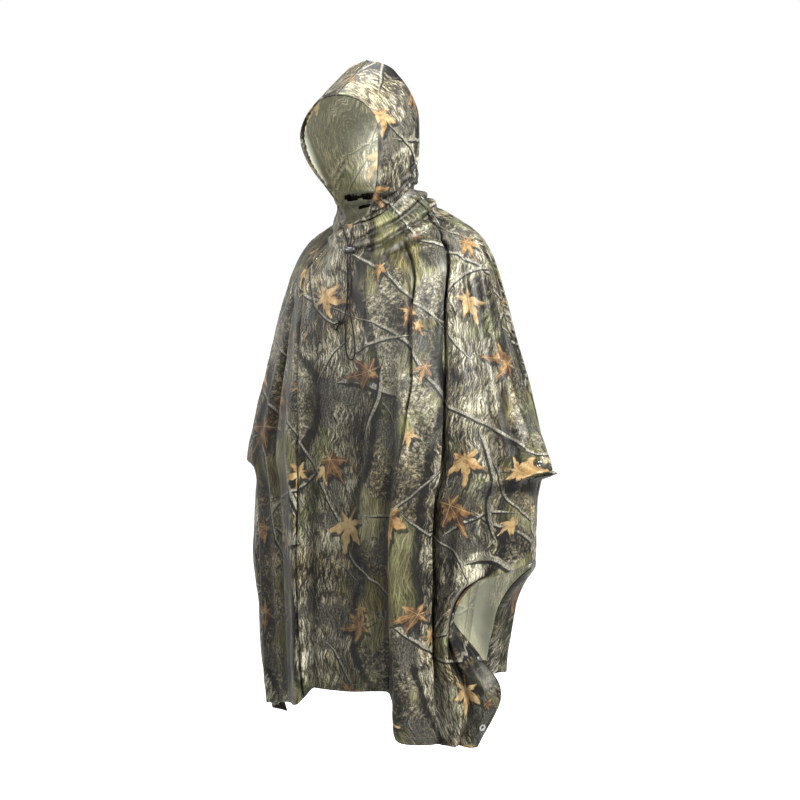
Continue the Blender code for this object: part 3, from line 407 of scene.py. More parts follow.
# pleats pressed into the cloth: proud side (+1 towards the wearer's left), height of the
# proud side, depth of the other, reach, overlap, and the path as ring position s, t
FRONT_PLEATS = [
    (1, 0.003, 0.005, 0.018, 0.002,
     ((0.19, -0.396), (0.314, -0.395), (0.363, -0.379), (0.455, -0.363), (0.56, -0.343))),
    (1, 0.004, 0.007, 0.018, 0.003,
     ((0.1, -0.42), (0.156, -0.29), (0.214, -0.236), (0.3, -0.212), (0.46, -0.156), (0.553, -0.1515),
      (0.613, -0.157), (0.719, -0.171), (0.924, -0.157), (1.02, -0.145))),
    (1, 0.0045, 0.0085, 0.018, 0.0045,
     ((0.05, 0.66), (0.172, 0.515), (0.339, 0.427), (0.442, 0.369), (0.496, 0.336), (0.592, 0.327),
      (0.65, 0.318), (0.79, 0.32), (0.92, 0.312), (1.02, 0.306))),
    (-1, 0.004, 0.008, 0.016, 0.004,
     ((0.065, 0.93), (0.106, 0.806), (0.222, 0.615), (0.316, 0.556), (0.365, 0.512), (0.503, 0.44),
      (0.617, 0.435), (0.752, 0.455), (0.861, 0.494), (0.93, 0.52))),
    (-1, 0.003, 0.005, 0.016, 0.003,
     ((0.24, 0.878), (0.309, 0.866), (0.373, 0.849), (0.445, 0.848), (0.53, 0.844))),
]
BACK_PLEATS = [
    (1, 0.0035, 0.006, 0.02, 0.003, ((0.12, -0.47), (0.4, -0.45), (0.7, -0.43), (1.02, -0.42))),
    (-1, 0.0035, 0.0055, 0.02, 0.003, ((0.1, 0.3), (0.4, 0.26), (0.7, 0.25), (0.95, 0.24))),
    (-1, 0.003, 0.005, 0.018, 0.0025, ((0.16, 0.72), (0.45, 0.68), (0.8, 0.66))),
]
# soft rolls of slack cloth round the neck: height, overhang, width, and the distance from
# the neck seam in metres at positions round the neck
FRONT_ROLLS = [
    (0.0105, 0.0085, 0.0085, ((-0.2, 0.018), (-0.05, 0.016), (0.15, 0.022), (0.4, 0.014), (0.7, 0.02),
                              (1, 0.024))),
    (0.0045, 0.005, 0.0085, ((-1, 0.03), (-0.55, 0.026), (-0.12, 0.024))),
    (0.009, 0.008, 0.0085, ((0.02, 0.04), (0.3, 0.05), (0.55, 0.046), (0.8, 0.052), (1, 0.058))),
    (0.004, 0.0045, 0.0085, ((-0.9, 0.062), (-0.45, 0.05), (-0.1, 0.042))),
    (0.0055, 0.005, 0.01, ((0.22, 0.074), (0.45, 0.082), (0.7, 0.078), (0.95, 0.092))),
]
BACK_ROLLS = [
    (0.009, 0.008, 0.009, ((-1, 0.024), (-0.6, 0.018), (-0.2, 0.02), (0.3, 0.016), (0.7, 0.022), (1, 0.03))),
    (0.0065, 0.006, 0.01, ((-1, 0.056), (-0.5, 0.048), (0, 0.052), (0.4, 0.044), (1, 0.062))),
]
HOOD_ROLLS = [
    (0.0075, -0.006, 0.0075, ((0.02, 0.02), (0.25, 0.016), (0.5, 0.022), (0.75, 0.018), (1, 0.02))),
    (0.0065, -0.005, 0.008, ((0.05, 0.052), (0.2, 0.044), (0.4, 0.05), (0.62, 0.036))),
    (0.005, -0.004, 0.009, ((0.08, 0.084), (0.25, 0.07), (0.5, 0.082))),
]
BACK_CREASES = [
    (-0.88, 0.12, -0.86, 0.42, 0.009, -0.0045, 0.01), (-0.7, 0.1, -0.72, 0.48, 0.01, 0.0045, -0.008),
    (-0.5, 0.08, -0.52, 0.4, 0.0085, -0.0045, 0.006), (-0.25, 0.06, -0.28, 0.52, 0.01, -0.004, 0.012),
    (-0.06, 0.16, -0.04, 0.6, 0.009, 0.004, -0.01), (0.04, 0.06, 0.06, 0.34, 0.008, -0.004, 0.006),
    (0.26, 0.1, 0.24, 0.56, 0.01, 0.0045, 0.01), (0.48, 0.08, 0.52, 0.46, 0.009, -0.0045, -0.008),
    (0.7, 0.12, 0.72, 0.5, 0.01, 0.004, 0.008), (0.88, 0.16, 0.9, 0.48, 0.0085, -0.0045, 0),
    (-0.68, 0.56, -0.7, 0.94, 0.011, -0.005, 0.008), (-0.44, 0.52, -0.48, 0.9, 0.01, 0.0045, -0.01),
    (-0.2, 0.62, -0.18, 0.98, 0.009, -0.0045, 0.008), (0.05, 0.56, 0.02, 0.92, 0.01, 0.004, 0.01),
    (0.3, 0.62, 0.33, 0.98, 0.0085, -0.005, -0.008), (0.54, 0.58, 0.56, 0.9, 0.01, 0.0045, 0.006),
    (0.76, 0.6, 0.74, 0.93, 0.009, -0.0045, 0.004), (-0.3, 0.02, -0.62, 0.045, 0.006, -0.0035, 0.004),
    (0.24, 0.024, 0.64, 0.05, 0.006, 0.0035, -0.004), (-0.06, 0.018, 0.28, 0.03, 0.006, -0.003, 0.004),
]
HOOD_CREASES = [
    # u0, v0, u1, v1, width, depth, bend
    (0.1, 0.8, 0.34, 0.46, 0.006, -0.003, 0.006), (0.18, 0.66, 0.52, 0.34, 0.007, -0.004, 0.008),
    (0.26, 0.88, 0.55, 0.6, 0.008, 0.003, -0.008), (0.12, 0.42, 0.3, 0.18, 0.0055, -0.004, 0.004),
    (0.22, 0.36, 0.44, 0.1, 0.006, 0.004, 0.004), (0.34, 0.3, 0.6, 0.06, 0.006, -0.0045, 0.006),
    (0.52, 0.34, 0.74, 0.08, 0.0065, 0.0035, -0.004), (0.66, 0.46, 0.88, 0.1, 0.008, -0.004, 0.006),
    (0.06, 0.22, 0.22, 0.05, 0.005, -0.0035, 0.003), (0.6, 0.7, 0.9, 0.5, 0.009, -0.003, 0.01),
    (0.1, 0.25, 0.58, 0.2, 0.007, 0.006, -0.008), (0.14, 0.33, 0.5, 0.33, 0.006, -0.005, 0.008),
    (0.2, 0.48, 0.42, 0.3, 0.006, 0.005, -0.006), (0.4, 0.42, 0.66, 0.24, 0.007, -0.0045, 0.006),
]


def waves(x, y, seed, octaves=3):
    """Smooth two-dimensional noise from -1 to 1, the same on each run."""
    total = np.zeros_like(x)
    size = 1.0
    for octave in range(octaves):
        draw = np.random.default_rng(seed + 17 * octave)
        table = draw.uniform(-1, 1, (64, 64))
        fx = x * 2 ** octave
        fy = y * 2 ** octave
        ix = np.floor(fx).astype(int)
        iy = np.floor(fy).astype(int)
        ux = fx - ix
        uy = fy - iy
        ux = ux * ux * ux * (ux * (ux * 6 - 15) + 10)
        uy = uy * uy * uy * (uy * (uy * 6 - 15) + 10)
        corner = [[table[(ix + a) % 64, (iy + b) % 64] for b in (0, 1)] for a in (0, 1)]
        low = corner[0][0] + (corner[1][0] - corner[0][0]) * ux
        high = corner[0][1] + (corner[1][1] - corner[0][1]) * ux
        total += size * (low + (high - low) * uy)
        size *= 0.5
    return total / 1.6


def crease_height(points, rows, place):
    """Height of all the creases of a table at the given points of the smooth form."""
    flat = points.reshape(-1, 3)
    height = np.zeros(len(flat))
    for t0, s0, t1, s1, width, depth, bend in rows:
        step = np.linspace(0, 1, 13)
        line = place(t0 + (t1 - t0) * step, s0 + (s1 - s0) * step)
        along = line[-1] - line[0]
        side = unit(np.cross(along, [0.0, -1.0, 0.0]))
        line = line + side * (bend * np.sin(step * math.pi))[:, None]
        low = line.min(0) - 4 * width
        high = line.max(0) + 4 * width
        near = np.where(np.all((flat > low) & (flat < high), axis=1))[0]
        if not len(near):
            continue
        best = np.full(len(near), 1e9)
        where = np.zeros(len(near))
        for k in range(len(line) - 1):
            a = line[k]
            d = line[k + 1] - a
            u = within(((flat[near] - a) @ d) / (d @ d))
            gap = np.linalg.norm(flat[near] - a - u[:, None] * d, axis=1)
            closer = gap < best
            best = np.where(closer, gap, best)
            where = np.where(closer, (k + u) / (len(line) - 1), where)
        taper = np.sin(within(where) * math.pi) ** 0.7
        wide = width * (0.55 + 0.75 * where)
        height[near] += depth * taper * np.exp(-(best / wide) ** 2)
    return height.reshape(points.shape[:-1])


def row_lengths(middle):
    """Length along each row from its first point."""
    step = np.linalg.norm(np.diff(middle, axis=0), axis=-1)
    return np.concatenate([np.zeros((1, middle.shape[1])), np.cumsum(step, axis=0)])


def grid_lengths(points):
    """Lengths of the cell sides and diagonals of a grid."""
    def span(a, b):
        return np.linalg.norm(a - b, axis=-1)
    return (span(points[1:], points[:-1]), span(points[:, 1:], points[:, :-1]),
            span(points[1:, 1:], points[:-1, :-1]), span(points[1:, :-1], points[:-1, 1:]))


def settle(flat, lengths, rounds):
    """Moves the flat grid's points until its sides and diagonals have the wanted lengths."""
    full = slice(None)
    pairs = (((slice(1, None), full), (slice(None, -1), full)),
             ((full, slice(1, None)), (full, slice(None, -1))),
             ((slice(1, None), slice(1, None)), (slice(None, -1), slice(None, -1))),
             ((slice(1, None), slice(None, -1)), (slice(None, -1), slice(1, None))))
    count = np.zeros(flat.shape[:2])
    for a, b in pairs:
        count[a] += 1
        count[b] += 1
    for _ in range(rounds):
        move = np.zeros_like(flat)
        for (a, b), wanted in zip(pairs, lengths):
            gap = flat[a] - flat[b]
            now = np.maximum(np.linalg.norm(gap, axis=-1), 1e-9)
            pull = gap * ((wanted / now - 1) * 0.5)[..., None]
            move[a] += pull
            move[b] -= pull
        flat = flat + move * (1.6 / count)[..., None]
    return flat


def laid_flat(middle, start):
    """Cloth coordinates in metres of a grid surface laid flat with its lengths kept."""
    run = row_lengths(middle)
    down = np.linalg.norm(np.diff(middle, axis=1), axis=-1)
    fall = np.concatenate([np.zeros((middle.shape[0], 1)), np.cumsum(down, axis=1)], axis=1)
    first = np.stack([run - run[start], -fall], -1)
    wide = middle.shape[0]
    high = middle.shape[1]
    i = np.unique(np.linspace(0, wide - 1, min(wide, 45)).round().astype(int))
    j = np.unique(np.linspace(0, high - 1, min(high, 35)).round().astype(int))
    sides = np.diff(run[i], axis=0)[:, j]
    heights = np.diff(fall[:, j], axis=1)[i]
    a = unit(np.gradient(middle, axis=0))
    b = unit(np.gradient(middle, axis=1))
    lean = (a * b).sum(-1)
    lean = np.stack([lean[p:q + 1].mean(0) for p, q in zip(i[:-1], i[1:])])
    lean = np.stack([lean[:, p:q + 1].mean(1) for p, q in zip(j[:-1], j[1:])], 1)
    h = (sides[:, 1:] + sides[:, :-1]) / 2
    v = (heights[1:] + heights[:-1]) / 2
    rest = (sides, heights, *(np.sqrt(h * h + v * v + way * 2 * h * v * lean) for way in (1, -1)))
    coarse = settle(first[np.ix_(i, j)], rest, 900)
    full = np.stack([np.stack([np.interp(np.arange(wide), i, coarse[:, k, c]) for k in range(len(j))], 1)
                     for c in (0, 1)], -1)
    flat = np.stack([np.stack([np.interp(np.arange(high), j, full[k, :, c]) for k in range(wide)], 0)
                     for c in (0, 1)], -1)
    return settle(flat, grid_lengths(middle), 120)


CLOTH = 0.0006          # thickness of the coated cloth
WEAVE_PITCH = 0.0009    # two threads of its weave
BRAID_PITCH = 0.0034    # one turn of a strand of the cord
HEM_EXTRA = 0.0007      # further thickness where a hem is turned in
HEM_WIDTH = 0.02
THREAD_HEIGHT = CLOTH / 2 + 0.0002   # stitches' middle over the cloth's middle
HEM_WAVE = 0.017        # pucker to pucker along a hem
GATHER = 0.013          # gather to gather along the hood's edge
CUFF = (0.528, 0.566)   # ring positions between which an arm comes out
SIDE_OPENS = 0.705      # ring position from which the sides hang free
HOOD_COLUMNS, HOOD_ROWS = 120, 130
INSIDE_DEPTH_WITH_PAINTED_LIGHT = 1.3      # brightness of the print on the inner faces before it is washed out, far above the outer print's: partly painted light for light passing through the thin cloth and bouncing inside


def fold_relief(middle, normal):
    """How far each point stands over (to 1) or under (to -1) the cloth around it."""
    soft = middle.copy()
    for _ in range(16):
        soft[1:-1] = soft[1:-1] * 0.5 + (soft[:-2] + soft[2:]) * 0.25
        soft[:, 1:-1] = soft[:, 1:-1] * 0.5 + (soft[:, :-2] + soft[:, 2:]) * 0.25
    return np.tanh(((middle - soft) * normal).sum(-1) / 0.0016)


def shell(name, middle, normal, firm, flat, hem, materials, flip):
    """Closed thin cloth shell: outer face on the form, inner face one wall further in.

    hem is 0 to 1 over the grid: 1 where the cloth is turned in and lies double. firm is 1 where
    the wall is whole and falls towards 0 inside a pleat, where the wall would push out of the fold.
    """
    nu, nv = middle.shape[:2]
    outer = middle + normal * (firm * CLOTH / 2)[..., None]
    inner = middle - normal * (firm * (CLOTH / 2 + HEM_EXTRA * hem))[..., None]
    points = np.concatenate([outer.reshape(-1, 3), inner.reshape(-1, 3)])
    count = nu * nv
    i, j = np.meshgrid(np.arange(nu - 1), np.arange(nv - 1), indexing="ij")
    a = (i * nv + j).ravel()
    quads = np.stack([a, a + nv, a + nv + 1, a + 1], -1)
    if flip:
        quads = quads[:, ::-1]
    inside = quads[:, ::-1] + count
    rim = [k * nv for k in range(nu)]
    rim += [(nu - 1) * nv + k for k in range(1, nv)]
    rim += [k * nv + nv - 1 for k in range(nu - 2, -1, -1)]
    rim += [k for k in range(nv - 2, 0, -1)]
    rim = np.array(rim)
    after = np.roll(rim, -1)
    edge = np.stack([after, rim, rim + count, after + count], -1)
    if flip:
        edge = edge[:, ::-1]
    faces = np.concatenate([quads, inside, edge])
    turned = hem.reshape(-1)[inside - count].min(1) > 0.35
    turned |= firm.reshape(-1)[inside - count].min(1) < 0.95
    slots = np.concatenate([
        np.zeros(len(quads), int), np.where(turned, 0, 1), np.zeros(len(edge), int)])
    mesh = mesh_of(name, points.tolist(), faces.tolist())
    mesh.polygons.foreach_set("material_index", slots.astype(np.int32))
    mesh.polygons.foreach_set("use_smooth", np.ones(len(faces), bool))
    both = np.concatenate([flat.reshape(-1, 2), flat.reshape(-1, 2)])
    loops = faces.ravel()
    layer = mesh.uv_layers.new(name="cloth")
    layer.data.foreach_set("uv", both[loops].astype(np.float32).ravel())
    # how proud or sunk each point is, kept on the points to paint shade into the creases and highlight onto the
    # ridges
    painted_fold_shading = fold_relief(middle, normal).ravel()
    mark = mesh.attributes.new("painted_fold_shading", "FLOAT", "POINT")
    mark.data.foreach_set("value", np.concatenate([painted_fold_shading, painted_fold_shading]).astype(np.float32))
    for material in materials:
        mesh.materials.append(material)
    mesh.validate()
    mesh.update()
    return placed(name, mesh)


def spread(count, centres):
    """Positions from -1 to 1, closer together around the centres: place, width, weight."""
    x = np.linspace(-1, 1, 8001)
    weight = np.ones_like(x)
    for centre, width, extra in centres:
        weight += extra * np.exp(-((x - centre) / width) ** 2)
    total = np.concatenate([[0], np.cumsum((weight[1:] + weight[:-1]) / 2)])
    return np.interp(np.linspace(0, total[-1], count), total, x)


def grid_normals(middle, outward):
    """Unit normals of a grid surface, turned to the outer side."""
    return unit(np.cross(np.gradient(middle, axis=1), np.gradient(middle, axis=0))) * outward


def pressed(middle, normal, s, column, pleat):
    """Presses one pleat into the grid along a column: a proud side laid over a trough."""
    side, height, depth, reach, overlap, path = pleat
    run = row_lengths(middle)
    x = (run - run[column]) * side
    fade = within((s - path[0][0]) / 0.06) * within((path[-1][0] - s) / 0.06)
    fade = smooth(fade)[None, :] * (0.82 + 0.18 * waves(s * 14 + 3.0, s * 0 + 20.0 * column, 41))
    proud = 0.5 + 0.5 * np.tanh(x / 0.0007)
    rise = proud * height * np.exp(-(x / reach) ** 2)
    rise -= (1 - proud) * depth * np.exp(-(x / (0.7 * reach)) ** 2)
    slide = -side * overlap * proud * np.exp(-(x / 0.01) ** 2)
    along = unit(np.gradient(middle, axis=0))
    return middle + normal * (rise * fade)[..., None] + along * (slide * fade)[..., None]


def rolled(middle, normal, place, rolls, seed):
    """Raises slack rolls round the neck that hang over a little on their lower side."""
    fall = run_from_edge(middle, 1, False)
    down = unit(np.gradient(middle, axis=1))
    rise = np.zeros_like(fall)
    slide = np.zeros_like(fall)
    for k, (height, overhang, width, path) in enumerate(rolls):
        path = np.array(path)
        home = np.interp(place, path[:, 0], path[:, 1])
        home = home + 0.0035 * waves(place * 3.1 + 20, place * 0 + 3.0 * k, seed)
        span = path[-1, 0] - path[0, 0]
        fade = within((place - path[0, 0]) / (0.1 * span) + 0.3) * within(
            (path[-1, 0] - place) / (0.1 * span) + 0.3)
        fade = fade * (0.75 + 0.35 * waves(place * 4.7 + 9, place * 0 + 5.0 * k, seed + 7))
        x = (fall - home) / width
        rise += fade * height * (np.exp(-x * x) - 0.45 * np.exp(-(x - 1.9) ** 2))
        slide += fade * overhang * np.exp(-((x - 0.1) * 0.9) ** 2)
    hold = within(fall / 0.006)
    return middle + normal * (rise * hold)[..., None] + down * (slide * hold)[..., None]


def panel_grid(back, columns, rows):
    """Middle surface of a panel with its pleats and creases, its normals and cloth coordinates."""
    folds = BACK_FOLDS if back else FRONT_FOLDS
    creases = BACK_CREASES if back else FRONT_CREASES
    pleats = BACK_PLEATS if back else FRONT_PLEATS
    outward = -1.0 if back else 1.0
    lines = []
    for pleat in pleats:
        path = np.array(pleat[-1])
        lines.append((path[:, 0], column_at(path[:, 1], np.minimum(path[:, 0], 1.0), back)))
    homes = [float(q_line.mean()) for _, q_line in lines]
    centres = [(f[0], f[5] * 0.7, 0.8) for f in folds]
    centres += [(home, 0.006, 7.0) for home in homes] + [(home, 0.02, 1.5) for home in homes]
    q = spread(columns, centres)
    q[0] = -1.0
    q[-1] = 1.0
    picked = []
    for home in homes:
        k = int(np.argmin(abs(q - home)))
        q[k] = home
        picked.append(k)
    first = np.linspace(0, 1, rows)
    s = first - 0.062 * np.sin(2 * math.pi * first)
    grid_q, grid_s = np.meshgrid(q, s, indexing="ij")
    fine = np.linspace(-1, 1, 1201)
    for j, level in enumerate(s):
        shown = [-1.0] + [float(np.interp(level, way, q_line)) for way, q_line in lines] + [1.0]
        row = np.interp(q, [-1.0] + homes + [1.0], shown)
        if level < 0.22:
            ring = panel_point(fine, np.full_like(fine, level), back)
            arc = run_along(ring)
            marks = np.interp(shown, fine, arc)
            level_q = np.interp(np.interp(np.arange(columns), [0] + picked + [columns - 1], marks), arc, fine)
            share = within((0.22 - level) / 0.13)
            row = row + (level_q - row) * share * share * (3 - 2 * share)
        grid_q[:, j] = row
    middle = panel_point(grid_q, grid_s, back)
    normal = grid_normals(middle, outward)
    flat = laid_flat(middle, int(np.argmin(abs(q))))
    t = column_angle(folds, grid_q, grid_s)
    form = ring_point(t, grid_s, back)
    height = crease_height(form, creases, lambda a, b: ring_point(a, b, back))
    seed = 300 if back else 100
    crumple = waves(flat[..., 0] * 16 + 40, flat[..., 1] * 9 + 40, seed)
    ridge = 1 - abs(waves(flat[..., 0] * 20 + 60, flat[..., 1] * 11 + 60, seed + 5)) * 2.2
    height += 0.0016 * crumple + 0.0011 * ridge
    rim = np.minimum.reduce([
        within((1 - abs(grid_q)) / 0.05), within(grid_s / 0.012),
        within((1 - grid_s) / 0.03) + 0.35])
    height *= within(rim)
    low = run_from_edge(middle, 1, True)
    drift = 2 * waves(flat[..., 0] * 25, flat[..., 1] * 0 + 3, 77)
    pucker = np.sin(flat[..., 0] * 2 * math.pi / HEM_WAVE + drift)
    height += 0.0006 * pucker * np.exp(-((low - HEM_WIDTH + 0.003) / 0.008) ** 2)
    middle = middle + normal * height[..., None]
    before = row_lengths(middle)
    for k, pleat in zip(picked, pleats):
        middle = pressed(middle, grid_normals(middle, outward), s, k, pleat)
    taken_up = row_lengths(middle) - before
    flat[..., 0] += taken_up - taken_up[int(np.argmin(abs(q)))]
    middle = rolled(middle, normal, t, BACK_ROLLS if back else FRONT_ROLLS, seed + 31)
    leaning = grid_normals(middle, outward)
    firm = np.clip(((leaning * normal).sum(-1) - 0.4) / 0.45, 0.03, 1)
    return s, middle, leaning, firm, flat


def run_from_edge(middle, axis, last):
    """Distance over the cloth from one edge of the grid."""
    step = np.linalg.norm(np.diff(middle, axis=axis), axis=-1)
    zero = np.zeros((1, middle.shape[1])) if axis == 0 else np.zeros((middle.shape[0], 1))
    if last:
        step = np.flip(step, axis)
    run = np.concatenate([zero, np.cumsum(step, axis=axis)], axis=axis)
    return np.flip(run, axis) if last else run


def line_inside(points, run, axis, distance):
    """Line of points that lies a fixed distance in from an edge of the grid."""
    if axis == 0:
        points = points.transpose(1, 0, 2)
        run = run.T
    found = []
    for spots, far in zip(points, run):
        order = np.argsort(far, kind="stable")
        found.append([np.interp(distance, far[order], spots[order, c]) for c in range(3)])
    return np.array(found)


def seam_line(outer, normal, run, axis, distance):
    """A line of stitches: its points on the outer face and its outward directions."""
    return line_inside(outer, run, axis, distance), line_inside(normal, run, axis, distance)


def cloth_panel(name, back, columns, rows, materials):
    """Front or back panel: shell with turned hems along its free edges."""
    s, middle, normal, firm, flat = panel_grid(back, columns, rows)
    free = (s[None, :] > SIDE_OPENS) | ((s[None, :] > CUFF[0]) & (s[None, :] < CUFF[1]))
    low = run_from_edge(middle, 1, True)
    near = run_from_edge(middle, 0, False)
    far = run_from_edge(middle, 0, True)
    hem = np.zeros_like(low)
    for distance in (low, near + np.where(free, 0.0, 1.0), far + np.where(free, 0.0, 1.0)):
        hem = np.maximum(hem, within((HEM_WIDTH - distance) / 0.002))
    made = shell(name, middle, normal, firm, flat + ([2.3, 1.14] if back else [0.0, -0.285]), hem, materials,
                 flip=not back)
    outer = middle + normal * THREAD_HEIGHT
    reach = HEM_WIDTH - 0.003
    lines = [seam_line(outer, normal, low, 1, reach)]
    for run in (near, far):
        for first, last, inset in ((SIDE_OPENS, 0.985, reach), (0.53, CUFF[1], reach), (0.0, 0.523, 0.004),
                                   (0.569, 0.704, 0.004)):
            keep = (s >= first) & (s <= last)
            if keep.sum() < 3:
                continue
            lines.append(seam_line(outer[:, keep], normal[:, keep], run[:, keep], 0, inset))
    lines.append(seam_line(outer, normal, run_from_edge(middle, 1, False), 1, 0.0045))
    return made, lines


def cloth_hood(name, sign, materials):
    """One hood half: shell with the face edge turned in as the cord channel."""
    u = np.linspace(0, 1, HOOD_COLUMNS)
    u = u - 0.085 * np.sin(math.pi * u) * (1 - u)
    v = np.linspace(0, 1, HOOD_ROWS)
    grid_u, grid_v = np.meshgrid(u, v, indexing="ij")
    middle = hood_point(grid_u, grid_v, sign)
    normal = hood_normal(np.clip(grid_u, 0.004, 0.985), np.clip(grid_v, 0.0, 0.985), sign)
    normal[-1, :, 0] = 0.0
    normal[:, -1, 0] = 0.0
    normal = unit(normal)
    flat = laid_flat(middle, 0) * [1.0, -1.0]
    height = crease_height(middle, HOOD_CREASES, lambda a, b: hood_point(a, b, sign))
    seed = 500 if sign > 0 else 700
    height += 0.0011 * waves(flat[..., 0] * 22 + 30, flat[..., 1] * 18 + 30, seed)
    edge = np.minimum.reduce([
        within(grid_u / 0.1), within((1 - grid_u) / 0.05),
        within(grid_v / 0.04), within((1 - grid_v) / 0.06)])
    height *= edge
    rim = run_from_edge(middle, 0, False)
    seam = np.minimum(run_from_edge(middle, 0, True), run_from_edge(middle, 1, True))
    wobble = waves(flat[..., 1] * 30, np.zeros_like(rim) + 5.0, 9)
    gather = np.sin(flat[..., 1] * 2 * math.pi / GATHER + 2.2 * wobble)
    height += 0.001 * gather * np.exp(-((rim - 0.017) / 0.008) ** 2) * (grid_v < 0.95)
    height += 0.0014 * np.sqrt(within(1 - ((rim - 0.0062) / 0.0062) ** 2))
    height -= 0.0008 * np.exp(-(seam / 0.0022) ** 2)
    height += 0.0005 * np.exp(-((seam - 0.0055) / 0.003) ** 2)
    height *= within(seam / 0.001)
    middle = middle + normal * height[..., None]
    soft = within(rim / 0.016) * within(run_from_edge(middle, 0, True) / 0.03)
    ruffled = rolled(middle, normal, grid_u, HOOD_ROLLS, seed + 3)
    middle = middle + (ruffled - middle) * soft[..., None]
    hem = within((0.0185 - rim) / 0.001) * 2.4
    made = shell(name, middle, normal, np.ones_like(hem), flat + ([0.0, 0.55] if sign > 0 else [1.37, 1.62]),
                 hem, materials, flip=sign < 0)
    outer = middle + normal * THREAD_HEIGHT
    lines = [seam_line(outer, normal, rim, 0, inset) for inset in (0.0016, 0.0132)]
    lines += [seam_line(outer, normal, run_from_edge(middle, axis, True), axis, 0.005) for axis in (0, 1)]
    return made, lines


# ---------------------------------------------------------------- stitches and fittings
def path_object(name, lines):
    """Loose polylines with the outward direction kept at each point."""
    points = []
    outs = []
    edges = []
    for line, out in lines:
        base = len(points)
        points += line.tolist()
        outs += out.tolist()
        edges += [(base + k, base + k + 1) for k in range(len(line) - 1)]
    return pointed(name, points, edges, outs)


def pointed(name, points, edges, outs):
    """Bare points and edges with an outward direction kept at each point."""
    mesh = mesh_of(name, points, [], edges)
    layer = mesh.attributes.new("out", "FLOAT_VECTOR", "POINT")
    layer.data.foreach_set("vector", np.array(outs, np.float32).ravel())
    return placed(name, mesh)


def facing(g, along=None):
    """Rotation that turns z to the kept outward direction and x along the path."""
    out = g.put("GeometryNodeInputNamedAttribute", {"Name": "out"}, data_type="FLOAT_VECTOR")["Attribute"]
    up = g.put("FunctionNodeAlignRotationToVector", {"Vector": out}, axis="Z")[0]
    if along is None:
        return up
    return g.put("FunctionNodeAlignRotationToVector", {"Rotation": up, "Vector": along},
                 axis="X", pivot_axis="Z")[0]


def finished(g, given, wanted, instances):
    """Ends a tree: the instances made real, with the given material."""
    real = g.put("GeometryNodeRealizeInstances", {"Geometry": instances})[0]
    g.feed(wanted["Geometry"], g.put("GeometryNodeSetMaterial", {
        "Geometry": real, "Material": given["Material"]})[0])


def stitch_tree():
    """Stitches set at an even pitch along every path."""
    tree, g, given, wanted = new_group("stitch_rows", {
        "Geometry": ("Geometry", None), "Pitch": ("Float", 0.0035), "Length": ("Float", 0.0026),
        "Thread": ("Float", 0.0005), "Material": ("Material", None),
    }, {"Geometry": "Geometry"}, "GeometryNodeTree")
    curve = g.put("GeometryNodeMeshToCurve", {"Mesh": given["Geometry"]})[0]
    rows = g.put("GeometryNodeResampleCurve", mode="LENGTH")[0]
    g.feed(rows.node.inputs["Curve"], curve)
    g.feed(rows.node.inputs["Length"], given["Pitch"])
    ball = g.put("GeometryNodeMeshUVSphere", {"Segments": 6, "Rings": 4, "Radius": 0.5})["Mesh"]
    tangent = g.put("GeometryNodeInputTangent")[0]
    finished(g, given, wanted, g.put("GeometryNodeInstanceOnPoints", {
        "Points": rows, "Instance": ball, "Rotation": facing(g, tangent),
        "Scale": g.join(given["Length"], given["Thread"], given["Thread"])})[0])
    return tree


def fitting_tree():
    """One turned fitting set on every point, facing away from the cloth."""
    tree, g, given, wanted = new_group("set_fittings", {
        "Geometry": ("Geometry", None), "Fitting": ("Object", None), "Size": ("Float", 1.0),
        "Material": ("Material", None)}, {"Geometry": "Geometry"}, "GeometryNodeTree")
    shape = g.put("GeometryNodeObjectInfo", {"Object": given["Fitting"]})["Geometry"]
    finished(g, given, wanted, g.put("GeometryNodeInstanceOnPoints", {
        "Points": given["Geometry"], "Instance": shape, "Rotation": facing(g), "Scale": given["Size"]})[0])
    return tree


def grown(name, source, tree, values, material):
    """Runs a tree on an object and keeps the result as one plain mesh."""
    modifier = source.modifiers.new("grow", "NODES")
    modifier.node_group = tree
    for item in tree.interface.items_tree:
        if item.in_out == "INPUT" and item.name in values:
            modifier[item.identifier] = values[item.name]
    bpy.context.view_layer.update()
    ready = source.evaluated_get(bpy.context.evaluated_depsgraph_get())
    mesh = bpy.data.meshes.new_from_object(ready)
    if not len(mesh.polygons):
        raise RuntimeError(name + " came out empty")
    mesh.name = name
    source.modifiers.remove(modifier)
    made = placed(name, mesh)
    bpy.data.objects.remove(source)
    mesh.materials.clear()
    mesh.materials.append(material)
    mesh.polygons.foreach_set("material_index", np.zeros(len(mesh.polygons), np.int32))
    mesh.polygons.foreach_set("use_smooth", np.ones(len(mesh.polygons), bool))
    mesh.update()
    return made


def turned(name, profile, segments, place=Matrix()):
    """Closed turned solid about its own z, moved by a matrix."""
    points = []
    faces = []
    rows = []
    for radius, height in profile:
        if radius < 1e-7:
            rows.append([len(points)])
            points.append((0.0, 0.0, height))
            continue
        ring = []
        for k in range(segments):
            a = 2 * math.pi * k / segments
            ring.append(len(points))
            points.append((radius * math.cos(a), radius * math.sin(a), height))
        rows.append(ring)
    closed = len(rows[0]) > 1
    pairs = list(zip(rows, rows[1:] + rows[:1])) if closed else list(zip(rows, rows[1:]))
    for low, high in pairs:
        for k in range(segments):
            n = (k + 1) % segments
            if len(low) == 1:
                faces.append((low[0], high[k], high[n]))
            elif len(high) == 1:
                faces.append((low[k], high[0], low[n]))
            else:
                faces.append((low[k], low[n], high[n], high[k]))
    mesh = mesh_of(name, [place @ Vector(p) for p in points], faces)
    work = bmesh.new()
    work.from_mesh(mesh)
    bmesh.ops.recalc_face_normals(work, faces=work.faces)
    work.to_mesh(mesh)
    work.free()
    mesh.shade_smooth()
    mesh.set_sharp_from_angle(angle=math.radians(40))
    return placed(name, mesh)


def tree_of(obj):
    """Lookup tree over one object's faces."""
    return BVHTree.FromPolygons(
        [v.co.copy() for v in obj.data.vertices], [tuple(p.vertices) for p in obj.data.polygons])


